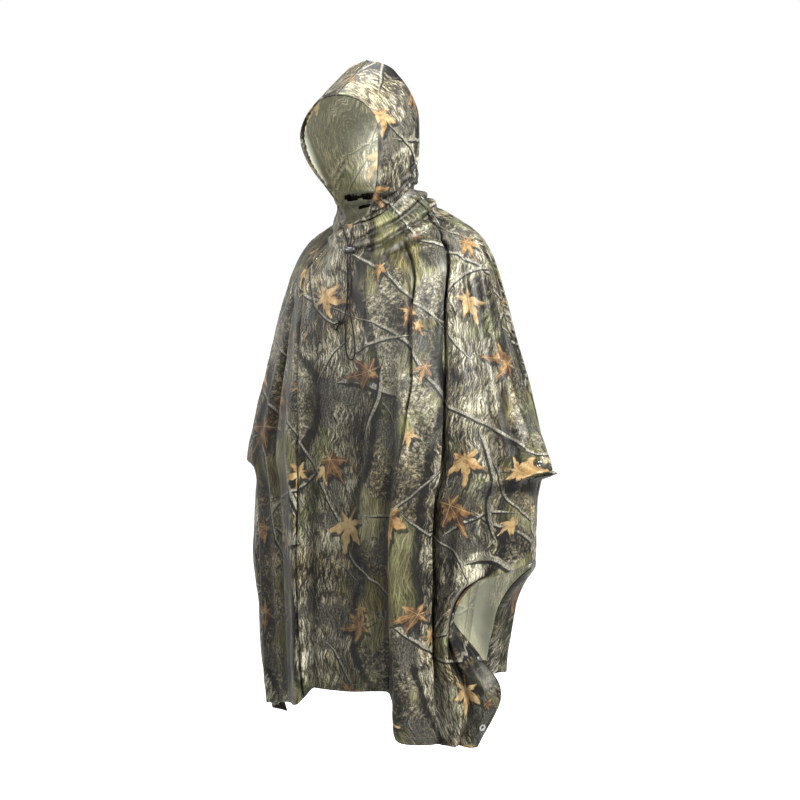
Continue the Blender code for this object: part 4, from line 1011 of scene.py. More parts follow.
def seat_on(tree, q, s, back, radius):
    """Point and outward direction for a fitting of this radius resting on the cloth."""
    q = np.float64(q)
    s = np.float64(s)
    normal = Vector(panel_normal(q, s, back))
    start = Vector(panel_point(q, s, back)) + normal * 0.014
    hit = tree.ray_cast(start, -normal, 0.03)[0]
    side = normal.orthogonal().normalized()
    other = normal.cross(side)
    high = 0.0
    for k in range(12):
        a = math.pi * k / 6
        reach = (side * math.cos(a) + other * math.sin(a)) * radius
        at = tree.ray_cast(hit + reach + normal * 0.014, -normal, 0.03)[0]
        if at is not None:
            high = max(high, (at - hit).dot(normal))
    return hit + normal * high * 0.5, normal


# ---------------------------------------------------------------- drawcord, knot and lock
CORD_RADIUS = 0.0016
LOCK_LENGTH = 0.023
LOCK_RADIUS = 0.0066
LOCK_T = 0.1
LOCK_S = 0.061
KNOT_T = 0.036
KNOT_S = 0.209
# route over the front panel: ring position t, s, height of the cord's middle over the cloth
LEFT_ROUTE = [
    (0.105, 0.01, 0.003), (0.11, 0.03, 0.0042), (0.112, 0.048, 0.0068), (0.112, 0.0605, 0.0074),
    (0.112, 0.074, 0.0066), (0.108, 0.1, 0.0034), (0.098, 0.14, 0.0022), (0.084, 0.178, 0.002),
    (0.1, 0.215, 0.002), (0.112, 0.25, 0.002), (0.112, 0.275, 0.002), (0.096, 0.29, 0.002),
    (0.074, 0.287, 0.002), (0.058, 0.268, 0.002), (0.056, 0.246, 0.002), (0.064, 0.23, 0.0026),
    (0.07, 0.218, 0.004),
]
RIGHT_ROUTE = [
    (-0.01, 0.01, 0.003), (0.035, 0.028, 0.0042), (0.078, 0.046, 0.0068), (0.088, 0.0605, 0.0074),
    (0.088, 0.074, 0.0066), (0.082, 0.1, 0.0034), (0.074, 0.14, 0.0022), (0.066, 0.175, 0.0024),
    (0.06, 0.202, 0.0046),
]
TAIL_LEFT_ROUTE = [(0.006, 0.2095, 0.004), (-0.004, 0.211, 0.003), (-0.016, 0.215, 0.0022)]
TAIL_RIGHT_ROUTE = [(0.01, 0.214, 0.004), (0.004, 0.219, 0.003), (-0.002, 0.226, 0.0022)]


def over_cloth(tree, rows):
    """Points over the finished front panel from rows of ring position t, s and height."""
    rows = np.array(rows, float).reshape(-1, 3)
    q = column_at(rows[:, 0], rows[:, 1], False)
    normals = panel_normal(q, rows[:, 1], False)
    starts = panel_point(q, rows[:, 1], False) + normals * 0.016
    spots = []
    for start, normal, height in zip(starts, normals, rows[:, 2]):
        hit = tree.ray_cast(Vector(start), -Vector(normal), 0.04)[0]
        spots.append(np.array(hit) + normal * height)
    return np.array(spots)


def even(spots, spacing):
    """The same line with points at an even spacing."""
    run = run_along(spots)
    at = np.linspace(0, run[-1], max(int(round(run[-1] / spacing)) + 1, 3))
    return np.stack([np.interp(at, run, spots[:, c]) for c in range(3)], -1)


def curved(table, count):
    """Smooth curve through chosen rows."""
    table = [np.array(row, float) for row in table]
    table = [2 * table[0] - table[1]] + table + [2 * table[-1] - table[-2]]
    fine = []
    for k in range(1, len(table) - 2):
        p0, p1, p2, p3 = table[k - 1:k + 3]
        for u in np.linspace(0, 1, count, endpoint=False):
            fine.append(0.5 * (2 * p1 + (p2 - p0) * u + (2 * p0 - 5 * p1 + 4 * p2 - p3) * u * u
                               + (3 * p1 - p0 - 3 * p2 + p3) * u ** 3))
    fine.append(table[-2])
    return np.array(fine)


def relaxed(spots, rounds):
    """Takes the small kinks out of a line that was laid over creased cloth."""
    for _ in range(rounds):
        spots[1:-1] = spots[1:-1] * 0.5 + (spots[:-2] + spots[2:]) * 0.25
    return spots


def strand(tree, route, tail, entry, leave):
    """One cord end: down from the hood channel, through the knot and out as a short tail."""
    way = relaxed(even(over_cloth(tree, curved(route, 24)), 0.0025), 6)
    run = run_along(way)
    near = within(1 - (run[-1] - run) / 0.02)[:, None]
    way = way + (entry - way[-1]) * near * near * (3 - 2 * near)
    rest = relaxed(even(over_cloth(tree, curved(tail, 12)), 0.002), 3)
    run = run_along(rest)
    near = within(1 - run / 0.01)[:, None]
    rest = rest + (leave - rest[0]) * near * near * (3 - 2 * near)
    return even(relaxed(even(np.concatenate([way, rest]), 0.0018), 22), 0.0022)


def tube(name, path, radius, sides, material):
    """Round tube along a path with domed ends, and a UV map of turn and length."""
    step = np.diff(path, axis=0)
    length = run_along(path)
    tangent = unit(np.concatenate([step[:1], step[:-1] + step[1:], step[-1:]]))
    side = unit(np.cross(tangent[0], [0.3, 0.5, 0.81]))
    frames = []
    for t in tangent:
        side = unit(side - t * (side @ t))
        frames.append((side, np.cross(t, side)))
    rings = [(0, -0.55 * radius, 0.55)] + [(k, 0.0, 1.0) for k in range(len(path))]
    rings += [(len(path) - 1, 0.55 * radius, 0.55)]
    points = []
    runs = []
    for k, ahead, wide in rings:
        a, b = frames[k]
        runs.append(length[k] + ahead)
        for m in range(sides):
            angle = 2 * math.pi * m / sides
            away = a * math.cos(angle) + b * math.sin(angle)
            points.append(path[k] + tangent[k] * ahead + away * radius * wide)
    faces = []
    places = []
    for r in range(len(rings) - 1):
        for m in range(sides):
            n = (m + 1) % sides
            faces.append((r * sides + m, r * sides + n, (r + 1) * sides + n, (r + 1) * sides + m))
            places += [(m / sides, runs[r]), ((m + 1) / sides, runs[r]),
                       ((m + 1) / sides, runs[r + 1]), (m / sides, runs[r + 1])]
    last = (len(rings) - 1) * sides
    faces.append(tuple(reversed(range(sides))))
    faces.append(tuple(range(last, last + sides)))
    places += [(0.5, runs[0])] * sides + [(0.5, runs[-1])] * sides
    mesh = mesh_of(name, [tuple(p) for p in points], faces)
    layer = mesh.uv_layers.new(name="cloth")
    layer.data.foreach_set("uv", np.array(places, np.float32).ravel())
    mesh.materials.append(material)
    mesh.shade_smooth()
    return placed(name, mesh)


def joined(name, parts):
    """Several meshes kept as one object."""
    work = bmesh.new()
    materials = []
    for part in parts:
        work.from_mesh(part.data)
        materials = materials or list(part.data.materials)
    mesh = bpy.data.meshes.new(name)
    work.to_mesh(mesh)
    work.free()
    for material in materials:
        mesh.materials.append(material)
    for part in parts:
        bpy.data.objects.remove(part)
    return placed(name, mesh)


# press snaps and eyelet: name, column q, ring position s, on the back panel or not
SNAPS = [
    ("snap_front_left_upper", 0.97, 0.79, False), ("snap_front_left_lower", 0.97, 0.912, False),
    ("snap_front_right_middle", -0.955, 0.826, False), ("snap_front_right_corner", -0.968, 0.984, False),
    ("snap_back_left_middle", 0.95, 0.83, True), ("snap_back_left_corner", 0.945, 0.978, True),
    ("snap_back_right_middle", -0.95, 0.826, True), ("snap_back_right_corner", -0.945, 0.978, True),
]
EYELETS = [("eyelet_front_left_corner", 0.88, 0.983, False)]


# ---------------------------------------------------------------- materials
class Graph:
    """Short-hand for building a node tree."""

    def __init__(self, tree):
        self.tree = tree

    def put(self, kind, inputs=(), **settings):
        """Adds one node, sets its inputs by name or number, and returns its outputs."""
        node = self.tree.nodes.new(kind)
        for key, value in settings.items():
            setattr(node, key, value)
        for key, value in dict(inputs).items():
            self.feed(node.inputs[key], value)
        return node.outputs

    def feed(self, socket, value):
        if isinstance(value, bpy.types.NodeSocket):
            self.tree.links.new(value, socket)
        elif value is not None:
            socket.default_value = value

    def math(self, operation, *values):
        return self.put("ShaderNodeMath", enumerate(values), operation=operation)[0]

    mul = partialmethod(math, "MULTIPLY")
    add = partialmethod(math, "ADD")
    sub = partialmethod(math, "SUBTRACT")
    mad = partialmethod(math, "MULTIPLY_ADD")

    def vector(self, operation, *values):
        return self.put("ShaderNodeVectorMath", enumerate(values), operation=operation)[0]

    def scaled(self, vector, share):
        return self.put("ShaderNodeVectorMath", {0: vector, "Scale": share}, operation="SCALE")[0]

    def join(self, x, y, z=0.0):
        return self.put("ShaderNodeCombineXYZ", enumerate((x, y, z)))[0]

    def split(self, vector):
        return self.put("ShaderNodeSeparateXYZ", {0: vector})

    def stretched(self, p, across, along):
        """Place p with its two directions scaled apart."""
        return self.join(self.mul(p[0], across), self.mul(p[1], along))

    def noise(self, vector, scale, detail=2.0, rough=0.5, space="2D", output="Fac"):
        return self.put("ShaderNodeTexNoise", {"Vector": vector, "Scale": scale, "Detail": detail,
                                               "Roughness": rough}, noise_dimensions=space)[output]

    def cells(self, vector, scale, feature="F1", randomness=1.0):
        return self.put("ShaderNodeTexVoronoi", {"Vector": vector, "Scale": scale, "Randomness": randomness},
                        voronoi_dimensions="2D", feature=feature)

    def step(self, value, low, high, out_low=0.0, out_high=1.0):
        return self.put("ShaderNodeMapRange", {
            "Value": value, "From Min": low, "From Max": high, "To Min": out_low, "To Max": out_high,
        }, interpolation_type="SMOOTHSTEP")["Result"]

    def mix(self, share, a, b, blend="MIX"):
        a, b = [(*c, 1.0) if isinstance(c, tuple) else c for c in (a, b)]
        return self.put("ShaderNodeMix", {"Factor": share, 6: a, 7: b}, data_type="RGBA", blend_type=blend)[2]

    def ramp(self, value, *stops):
        colour = self.put("ShaderNodeValToRGB", {"Fac": value})["Color"]
        band = colour.node.color_ramp.elements
        for element, (place, shade) in ((band[0], stops[0]), (band[1], stops[-1])):
            element.position = place
            element.color = (*shade, 1.0)
        for place, shade in stops[1:-1]:
            band.new(place).color = (*shade, 1.0)
        return colour

    def turn(self, vector, angle):
        return self.put("ShaderNodeVectorRotate", {"Vector": vector, "Angle": angle},
                        rotation_type="Z_AXIS")[0]

    def group(self, tree, **inputs):
        return self.put("ShaderNodeGroup", inputs, node_tree=tree)

    def bump(self, height, strength, distance, under=None):
        return self.put("ShaderNodeBump", {"Strength": strength, "Distance": distance, "Height": height,
                                           "Normal": under})[0]


def new_group(name, inputs, outputs, kind="ShaderNodeTree"):
    """Node group with named sockets; returns the group, its graph, and its two ends."""
    tree = bpy.data.node_groups.new(name, kind)
    for key, (socket_type, value) in inputs.items():
        socket = tree.interface.new_socket(key, in_out="INPUT", socket_type="NodeSocket" + socket_type)
        if value is not None:
            socket.default_value = value
    for key, socket_type in outputs.items():
        tree.interface.new_socket(key, in_out="OUTPUT", socket_type="NodeSocket" + socket_type)
    g = Graph(tree)
    return tree, g, g.put("NodeGroupInput"), tree.nodes.new("NodeGroupOutput").inputs


def leaf_group():
    """Fallen leaves strewn at random: one lobed leaf to a cell, turned and sized by chance."""
    tree, g, start, end = new_group(
        "strewn_leaves",
        {"Place": ("Vector", None), "Spacing": ("Float", 0.15), "Size": ("Float", 0.045),
         "Share": ("Float", 0.6)},
        {"Leaf": "Float", "Vein": "Float", "Chance": "Float", "Reach": "Float"})
    scaled = g.scaled(start["Place"], g.math("DIVIDE", 1.0, start["Spacing"]))
    cell = g.cells(scaled, 1.0, randomness=0.62)
    offset = g.vector("SUBTRACT", scaled, cell["Position"])
    chance = g.split(cell["Color"])
    angle = g.mad(g.sub(chance[0], 0.5), 3.4, 3.3)
    local = g.split(g.turn(offset, angle))
    size = g.mul(start["Size"], g.mad(chance[1], 0.45, 0.75))
    grow = g.math("DIVIDE", start["Spacing"], size)
    y = g.add(g.mul(local[1], grow), 0.32)
    bow = g.mul(g.mul(y, y), g.sub(chance[2], 0.5))
    slim = g.mad(g.math("FRACT", g.mul(chance[0], 5.7)), 0.7, 1.05)
    x = g.add(g.mul(g.mul(local[0], grow), slim), g.mul(bow, 0.55))
    r = g.math("SQRT", g.add(g.mul(x, x), g.mul(y, y)))
    theta = g.math("ARCTAN2", x, y)
    lobe = g.mad(g.math("COSINE", g.mul(theta, 6.2)), 0.5, 0.5)
    tooth = g.mad(g.math("COSINE", g.mul(theta, 18.6)), 0.5, 0.5)
    ahead = g.mad(g.math("COSINE", theta), 0.5, 0.5)
    ahead = g.math("POWER", g.math("MAXIMUM", ahead, 0.0001), 0.7)
    ragged = g.noise(scaled, 11.0, 1.0)
    edge = g.add(g.mad(g.math("POWER", lobe, 1.4), 0.46, 0.34), g.mul(tooth, 0.15))
    outline = g.mul(edge, g.mad(ahead, 0.78, 0.22))
    outline = g.mul(outline, g.mad(ragged, 0.55, 0.72))
    inside = g.sub(outline, r)
    blade = g.step(inside, -0.012, 0.02)
    stem = g.mul(g.step(g.math("ABSOLUTE", x), 0.045, 0.02),
                  g.mul(g.step(y, -0.55, -0.5), g.step(y, 0.1, 0.0)))
    there = g.math("LESS_THAN", g.math("FRACT", g.mul(chance[2], 3.7)), start["Share"])
    whole = g.mul(g.math("MAXIMUM", blade, stem), there)
    rib = g.mul(g.math("ABSOLUTE", g.math("SINE", g.mul(theta, 3.1))), r)
    vein = g.step(rib, 0.055, 0.015)
    g.feed(end["Leaf"], whole)
    g.feed(end["Vein"], g.mul(vein, whole))
    g.feed(end["Chance"], g.math("FRACT", g.mul(chance[1], 7.3)))
    g.feed(end["Reach"], g.mul(inside, there))
    return tree


def branch_group():
    """One family of bare branches: light upper side, dark lower side."""
    tree, g, start, end = new_group(
        "bare_branches",
        {"Place": ("Vector", None), "Angle": ("Float", 0.5), "Spacing": ("Float", 0.3),
         "Width": ("Float", 0.005), "Seed": ("Float", 0.0), "Share": ("Float", 0.5)},
        {"Light": "Float", "Dark": "Float"})
    moved = g.vector("ADD", start["Place"], g.join(start["Seed"], start["Seed"]))
    p = g.split(g.turn(moved, start["Angle"]))
    row0 = g.math("FLOOR", g.math("DIVIDE", p[1], start["Spacing"]))
    lane = g.mul(row0, 5.17)
    bend = g.noise(g.join(g.mad(p[0], 3.0, lane), lane), 1.0, 1.0)
    kink = g.noise(g.join(g.mad(p[0], 16.0, lane), g.add(lane, 3.0)), 1.0, 2.0)
    home = g.mul(g.add(row0, 0.5), start["Spacing"])
    middle = g.add(g.mul(g.sub(bend, 0.5), g.mul(start["Spacing"], 1.1)),
                    g.mul(g.sub(kink, 0.5), 0.013))
    gap = g.sub(g.sub(p[1], home), middle)
    along = g.noise(g.join(g.mad(p[0], 2.6, g.mul(lane, 1.7)), lane), 1.0, 1.0)
    there = g.step(along, g.sub(0.72, g.mul(start["Share"], 0.45)),
                   g.sub(0.84, g.mul(start["Share"], 0.45)))
    half = g.mul(start["Width"], g.mul(there, 0.5))
    seen = g.math("GREATER_THAN", there, 0.12)
    light = g.step(g.math("ABSOLUTE", gap), half, g.mul(half, 0.55))
    under = g.add(gap, g.mul(half, 1.1))
    dark = g.step(g.math("ABSOLUTE", under), g.mul(half, 1.3), g.mul(half, 0.7))
    g.feed(end["Light"], g.mul(light, seen))
    g.feed(end["Dark"], g.mul(dark, seen))
    return tree


def strokes(g, place, angle, across, along, rough=0.6):
    """Noise drawn out into strokes along one direction."""
    return g.noise(g.stretched(g.split(g.turn(place, angle)), across, along), 1.0, 3.0, rough)


def print_group():
    """The woodland print in cloth metres: bark, ground, grass, shade, branches and leaves."""
    tree, g, start, end = new_group(
        "woodland_print", {"Place": ("Vector", None)}, {"Colour": "Color", "Tone": "Float"})
    place = start["Place"]

    def patches(right, up, scale, detail, low, high, rough=0.5):
        """Soft-edged patches strewn over the cloth."""
        moved = g.vector("ADD", place, (right, up, 0.0))
        return g.step(g.noise(moved, scale, detail, rough), low, high)

    warp = g.noise(place, 9.0, 2.0, output="Color")
    bent = g.vector("MULTIPLY_ADD", warp, (0.045, 0.03, 0.0), place)
    b = g.split(bent)
    fine = g.noise(g.stretched(b, 430.0, 210.0), 1.0, 3.0, 0.65)
    # bark: long plates with dark cracks between them
    small = g.noise(place, 75.0, 2.0, output="Color")
    torn = g.vector("MULTIPLY_ADD", small, (0.009, 0.016, 0.0), bent)
    t = g.split(torn)
    plate = g.cells(g.stretched(t, 165.0, 24.0), 1.0, "DISTANCE_TO_EDGE")
    crack = g.step(plate["Distance"], 0.0, 0.3)
    ridge = g.noise(g.stretched(t, 215.0, 30.0), 1.0, 4.0, 0.7)
    bark = g.add(g.mul(crack, 0.2), g.mul(fine, 0.42))
    bark = g.add(bark, g.mad(ridge, 0.66, -0.1))
    # rough ground between the trunks: lichen, litter and crossing stalks
    crumb = g.noise(bent, 105.0, 4.0, 0.72)
    chip = g.cells(torn, 120.0, "DISTANCE_TO_EDGE")
    stalk = g.math("MAXIMUM", strokes(g, bent, 0.55, 260.0, 24.0), strokes(g, bent, -0.75, 230.0, 22.0))
    ground = g.add(g.mul(crumb, 0.68), g.mul(g.step(chip["Distance"], 0.0, 0.25), 0.1))
    ground = g.add(ground, g.mul(stalk, 0.3))
    # grass: tall strokes
    blades = g.math("MAXIMUM", strokes(g, bent, 0.16, 300.0, 13.0), strokes(g, bent, -0.24, 260.0, 12.0))
    grass = g.add(g.mul(blades, 0.85), g.mul(fine, 0.22))
    # where each of them lies
    sway = g.noise(g.stretched(b, 1.1, 1.6), 1.0, 2.0)
    column = g.add(g.mul(g.split(place)[0], 2.7), g.mul(sway, 1.1))
    band = g.math("PINGPONG", column, 0.5)
    trunk = g.step(band, 0.255, 0.285)
    side = g.sub(1.0, g.step(g.math("ABSOLUTE", g.sub(band, 0.262)), 0.008, 0.045))
    tall = patches(3.7, 1.3, 6.5, 2.0, 0.52, 0.57)
    tall = g.mul(tall, g.sub(1.0, g.mul(trunk, 0.92)))
    tone = g.add(g.mul(bark, trunk), g.mul(ground, g.sub(1.0, trunk)))
    tone = g.add(g.mul(tone, g.sub(1.0, tall)), g.mul(grass, tall))
    broad = g.noise(place, 8.0, 3.0, 0.5)
    tone = g.add(tone, g.mul(g.sub(broad, 0.48), 0.62))
    tone = g.sub(tone, g.mul(side, 0.2))
    tone = g.sub(tone, g.mul(g.sub(1.0, g.math("MAXIMUM", trunk, tall)), 0.045))
    stone = g.ramp(tone, (0.36, (0.006, 0.0055, 0.0045)), (0.47, (0.045, 0.04, 0.028)),
                   (0.57, (0.15, 0.136, 0.094)), (0.68, (0.37, 0.35, 0.265)), (0.82, (0.8, 0.78, 0.66)))
    olive = g.ramp(tone, (0.36, (0.014, 0.013, 0.007)), (0.5, (0.072, 0.068, 0.031)),
                   (0.64, (0.18, 0.172, 0.085)), (0.84, (0.46, 0.45, 0.27)))
    colour = g.mix(tall, stone, olive)
    mossy = patches(6.7, 2.3, 7.0, 3.0, 0.58, 0.7)
    moss = g.ramp(tone, (0.36, (0.018, 0.02, 0.007)), (0.56, (0.095, 0.105, 0.04)),
                  (0.8, (0.34, 0.36, 0.17)))
    colour = g.mix(g.mul(mossy, 0.75), colour, moss)
    warm = patches(9.2, 4.1, 5.0, 2.0, 0.5, 0.66)
    colour = g.mix(g.mul(warm, 0.5), colour, g.mix(1.0, colour, (1.1, 0.92, 0.62), "MULTIPLY"))
    # dark hollows with faint strokes
    hollow = patches(1.1, 5.9, 8.5, 3.0, 0.575, 0.615, 0.55)
    gloom = g.ramp(g.add(g.mul(grass, 0.75), g.mul(fine, 0.35)),
                   (0.46, (0.006, 0.006, 0.0055)), (0.62, (0.06, 0.058, 0.05)), (0.84, (0.34, 0.33, 0.28)))
    colour = g.mix(g.mul(hollow, 0.78), colour, gloom)
    # branches
    families = (
        (0.52, 0.15, 0.0078, 0.0, 0.52),
        (-0.46, 0.17, 0.0072, 2.73, 0.5),
        (0.95, 0.21, 0.0056, 5.31, 0.5),
        (-1.05, 0.23, 0.0062, 7.7, 0.46),
        (0.06, 0.38, 0.015, 9.14, 0.42),
        (1.5, 0.3, 0.011, 12.4, 0.4),
    )
    twigs = branch_group()
    pale = g.ramp(g.add(g.mul(fine, 0.7), g.mul(crumb, 0.3)),
                  (0.36, (0.09, 0.083, 0.064)), (0.5, (0.3, 0.288, 0.235)), (0.66, (0.62, 0.61, 0.53)))
    for angle, spacing, width, seed, share in families:
        line = g.group(twigs, Place=place, Angle=angle, Spacing=spacing, Width=width, Seed=seed, Share=share)
        colour = g.mix(g.mul(line["Dark"], 0.95), colour, (0.01, 0.009, 0.008))
        colour = g.mix(line["Light"], colour, pale)
    # leaves
    leaves = leaf_group()
    for spacing, size, share, shift in ((0.118, 0.036, 0.22, (4.3, 2.9)), (0.172, 0.074, 0.66, (0.37, 0.11))):
        at = g.vector("ADD", place, (*shift, 0.0))
        given = {"Spacing": spacing, "Size": size, "Share": share}
        shade = g.group(leaves, Place=g.vector("ADD", at, (-0.006, 0.009, 0.0)), **given)
        leaf = g.group(leaves, Place=at, **given)
        colour = g.mix(g.mul(shade["Leaf"], 0.82), colour, (0.014, 0.013, 0.013))
        mottle = g.add(g.mul(g.noise(place, 48.0, 3.0, 0.6), 0.75),
                        g.mul(leaf["Chance"], 0.3))
        blade = g.ramp(mottle, (0.34, (0.085, 0.043, 0.019)), (0.47, (0.25, 0.138, 0.055)),
                       (0.6, (0.45, 0.285, 0.12)), (0.74, (0.64, 0.49, 0.27)))
        blade = g.mix(g.mul(leaf["Vein"], 0.45), blade, (0.66, 0.5, 0.3))
        rim = g.step(leaf["Reach"], 0.09, 0.0)
        blade = g.mix(g.mul(rim, 0.6), blade, (0.085, 0.04, 0.016))
        colour = g.mix(leaf["Leaf"], colour, blade)
    g.feed(end["Colour"], colour)
    g.feed(end["Tone"], tone)
    return tree


def new_finish(name, **fixed):
    """New material with its graph and the inputs of its shader, some of them set outright."""
    material = bpy.data.materials.new(name)
    material.use_nodes = True
    g = Graph(material.node_tree)
    surface = material.node_tree.nodes["Principled BSDF"].inputs
    for key, value in fixed.items():
        surface[key.replace("_", " ")].default_value = value
    return material, g, surface


def coated_cloth(name, washed, printed, depth):
    """Coated woven cloth with the print: the outer face, or the paler inner one. The inner one is partly the
    real paler back of the print and partly painted light for light passing through the thin cloth.
    """
    material, g, surface = new_finish(name, Specular_IOR_Level=0.14)
    uv = g.put("ShaderNodeUVMap", uv_map="cloth")[0]
    ink = g.group(printed, Place=uv)
    # the inner faces get a far higher depth and are washed towards pale: partly the real paler back of the
    # print, partly painted light
    colour = g.mix(1.0, ink["Colour"], (depth, depth * 0.98, depth * 0.9), "MULTIPLY")
    if washed > 0:
        colour = g.mix(washed, colour, (0.82, 0.83, 0.67))
    # painted shade and painted highlight from the folds: the outer face is made paler on fold ridges and darker
    # in troughs, the inner face the other way round
    painted_fold_shading = g.put("ShaderNodeAttribute", attribute_name="painted_fold_shading")["Fac"]
    g.feed(surface["Base Color"], g.scaled(colour, g.mad(painted_fold_shading, -0.22 if washed > 0 else 0.48, 1.0)))
    g.feed(surface["Roughness"], g.mad(g.noise(uv, 30.0, 3.0), 0.2, 0.4))
    warp, weft = [g.math("SINE", g.mul(way, 2 * math.pi / WEAVE_PITCH)) for way in g.split(uv)[:2]]
    woven = g.bump(g.mul(warp, weft), 0.05, 0.0002)
    crinkle = g.noise(uv, 75.0, 4.0, 0.55)
    g.feed(surface["Normal"], g.bump(crinkle, 0.3, 0.0022, woven))
    return material


def braided(name, colour):
    """Braided round cord: two crossing sets of strands round the tube."""
    material, g, surface = new_finish(name, Specular_IOR_Level=0.06)
    uv = g.split(g.put("ShaderNodeUVMap", uv_map="cloth")[0])
    along = g.mul(uv[1], 1 / BRAID_PITCH)
    one, two = [g.math("SINE", g.mul(cross(along, g.mul(uv[0], 4.0)), 2 * math.pi)) for cross in (g.add, g.sub)]
    weave = g.mul(one, two)
    speck = g.noise(g.stretched(uv, 40.0, 3000.0), 1.0, 2.0)
    dark = tuple(c * 0.45 for c in colour)
    light = tuple(min(c * 2.3, 1) for c in colour)
    # the weave share paints shade onto the braid's low points and light onto its raised strands; the speck is
    # the fibres' own tone
    tone = g.add(g.mul(weave, 0.25), speck)
    g.feed(surface["Base Color"], g.ramp(tone, (0.25, dark), (0.55, colour), (0.85, light)))
    g.feed(surface["Roughness"], g.mad(speck, 0.2, 0.55))
    g.feed(surface["Normal"], g.bump(weave, 0.6, 0.0003))
    return material


def solid_finish(name, colour, rough, metal, mottle, grain, depth):
    """Moulded plastic, lacquered or plated metal with small wear and unevenness."""
    material, g, surface = new_finish(name, Metallic=metal)
    place = g.put("ShaderNodeTexCoord")["Object"]
    spot = g.noise(place, grain, 4.0, space="3D")
    scratch = g.noise(place, grain * 6, 3.0, space="3D")
    dark = tuple(c * (1 - mottle) for c in colour)
    light = tuple(min(c * (1 + 1.5 * mottle), 1) for c in colour)
    g.feed(surface["Base Color"], g.ramp(spot, (0.35, dark), (0.52, colour), (0.7, light)))
    g.feed(surface["Roughness"], g.mad(scratch, 0.22, rough - 0.11))
    g.feed(surface["Normal"], g.bump(scratch, 0.25, depth))
    return material


def floor_finish(colour, glow):
    """Pale matt light table with a barely visible unevenness."""
    material, g, surface = new_finish("studio_floor", Roughness=0.9, Specular_IOR_Level=0.1,
                                      Emission_Color=(1.0, 1.0, 1.0, 1.0), Emission_Strength=glow)
    tone = g.noise(g.put("ShaderNodeTexCoord")["Object"], 0.7)
    g.feed(surface["Base Color"], g.ramp(tone, (0.3, tuple(c * 0.985 for c in colour)), (0.7, colour)))
    return material


# ---------------------------------------------------------------- settings
class PonchoCloth(bpy.types.PropertyGroup):
    """Sizes and colours of the sewn cloth."""
    front_columns: bpy.props.IntProperty(
        name="Front columns", description="Cloth columns across the front panel", default=240, min=60)
    front_rows: bpy.props.IntProperty(
        name="Front rows", description="Cloth rows down the front panel", default=205, min=60)
    back_columns: bpy.props.IntProperty(
        name="Back columns", description="Cloth columns across the back panel", default=220, min=60)
    back_rows: bpy.props.IntProperty(
        name="Back rows", description="Cloth rows down the back panel", default=180, min=60)
    # the inner faces' washing out is partly the real paler back of the print, partly painted light for light
    # passing through the thin cloth
    washed_inside: bpy.props.FloatProperty(
        name="Washed inside", description="How far the print fades on the panels' inner face",
        default=0.45, min=0.0, max=1.0, subtype="FACTOR")
    washed_hood: bpy.props.FloatProperty(
        name="Washed hood", description="How far the print fades inside the hood",
        default=0.29, min=0.0, max=1.0, subtype="FACTOR")
    print_depth: bpy.props.FloatProperty(
        name="Print depth", description="Brightness of the print on the outer face",
        default=0.202, min=0.0, max=1.0, subtype="FACTOR")
    stitch_pitch: bpy.props.FloatProperty(
        name="Stitch pitch", description="Distance from one stitch to the next",
        default=0.0038, min=0.001, unit="LENGTH")
    thread_width: bpy.props.FloatProperty(
        name="Thread width", description="Width of the sewing thread",
        default=0.0008, min=0.0002, unit="LENGTH")
    thread_colour: bpy.props.FloatVectorProperty(
        name="Thread colour", description="Colour of the sewing thread",
        default=(0.05, 0.048, 0.036), subtype="COLOR", size=3)


class PonchoTrim(bpy.types.PropertyGroup):
    """Sizes and colours of the cord and the fittings."""
    cord_colour: bpy.props.FloatVectorProperty(
        name="Cord colour", description="Colour of the braided drawcord",
        default=(0.0045, 0.0042, 0.004), subtype="COLOR", size=3)
    plastic_colour: bpy.props.FloatVectorProperty(
        name="Lock colour", description="Colour of the cord lock",
        default=(0.005, 0.005, 0.0055), subtype="COLOR", size=3)
    snap_colour: bpy.props.FloatVectorProperty(
        name="Snap colour", description="Colour of the lacquered snap caps",
        default=(0.007, 0.0065, 0.006), subtype="COLOR", size=3)
    eyelet_colour: bpy.props.FloatVectorProperty(
        name="Eyelet colour", description="Colour of the rolled eyelet",
        default=(0.22, 0.215, 0.2), subtype="COLOR", size=3)
    fitting_size: bpy.props.FloatProperty(
        name="Fitting size", description="Scale of the snap caps", default=1.0, min=0.5, max=1.5)


class PonchoStage(bpy.types.PropertyGroup):
    """Floor, light and camera."""
    floor_height: bpy.props.FloatProperty(
        name="Floor height", description="Height of the floor", default=-1.46, unit="LENGTH")
    floor_colour: bpy.props.FloatVectorProperty(
        name="Floor colour", description="Colour of the floor", default=(0.4, 0.4, 0.4),
        subtype="COLOR", size=3)
    floor_glow: bpy.props.FloatProperty(
        name="Floor glow", description="Light that the floor gives back by itself",
        default=0.96, min=0.0, max=2.0)
    key_power: bpy.props.FloatProperty(
        name="Key light", description="Power of the large light at the right", default=520.0, unit="POWER")
    fill_power: bpy.props.FloatProperty(
        name="Fill light", description="Power of the light towards the hood opening", default=4.5, unit="POWER")
    side_power: bpy.props.FloatProperty(
        name="Side light", description="Power of the soft light at the left", default=42.0, unit="POWER")
    top_power: bpy.props.FloatProperty(
        name="Top light", description="Power of the light above", default=110.0, unit="POWER")
    ceiling_tone: bpy.props.FloatProperty(
        name="Ceiling tone", description="Brightness of the room above", default=0.15, min=0.0, max=1.0)
    lens: bpy.props.FloatProperty(
        name="Lens", description="Focal length of the camera in millimetres", default=84.0, min=10.0)


# ---------------------------------------------------------------- operators
BUILT = {}


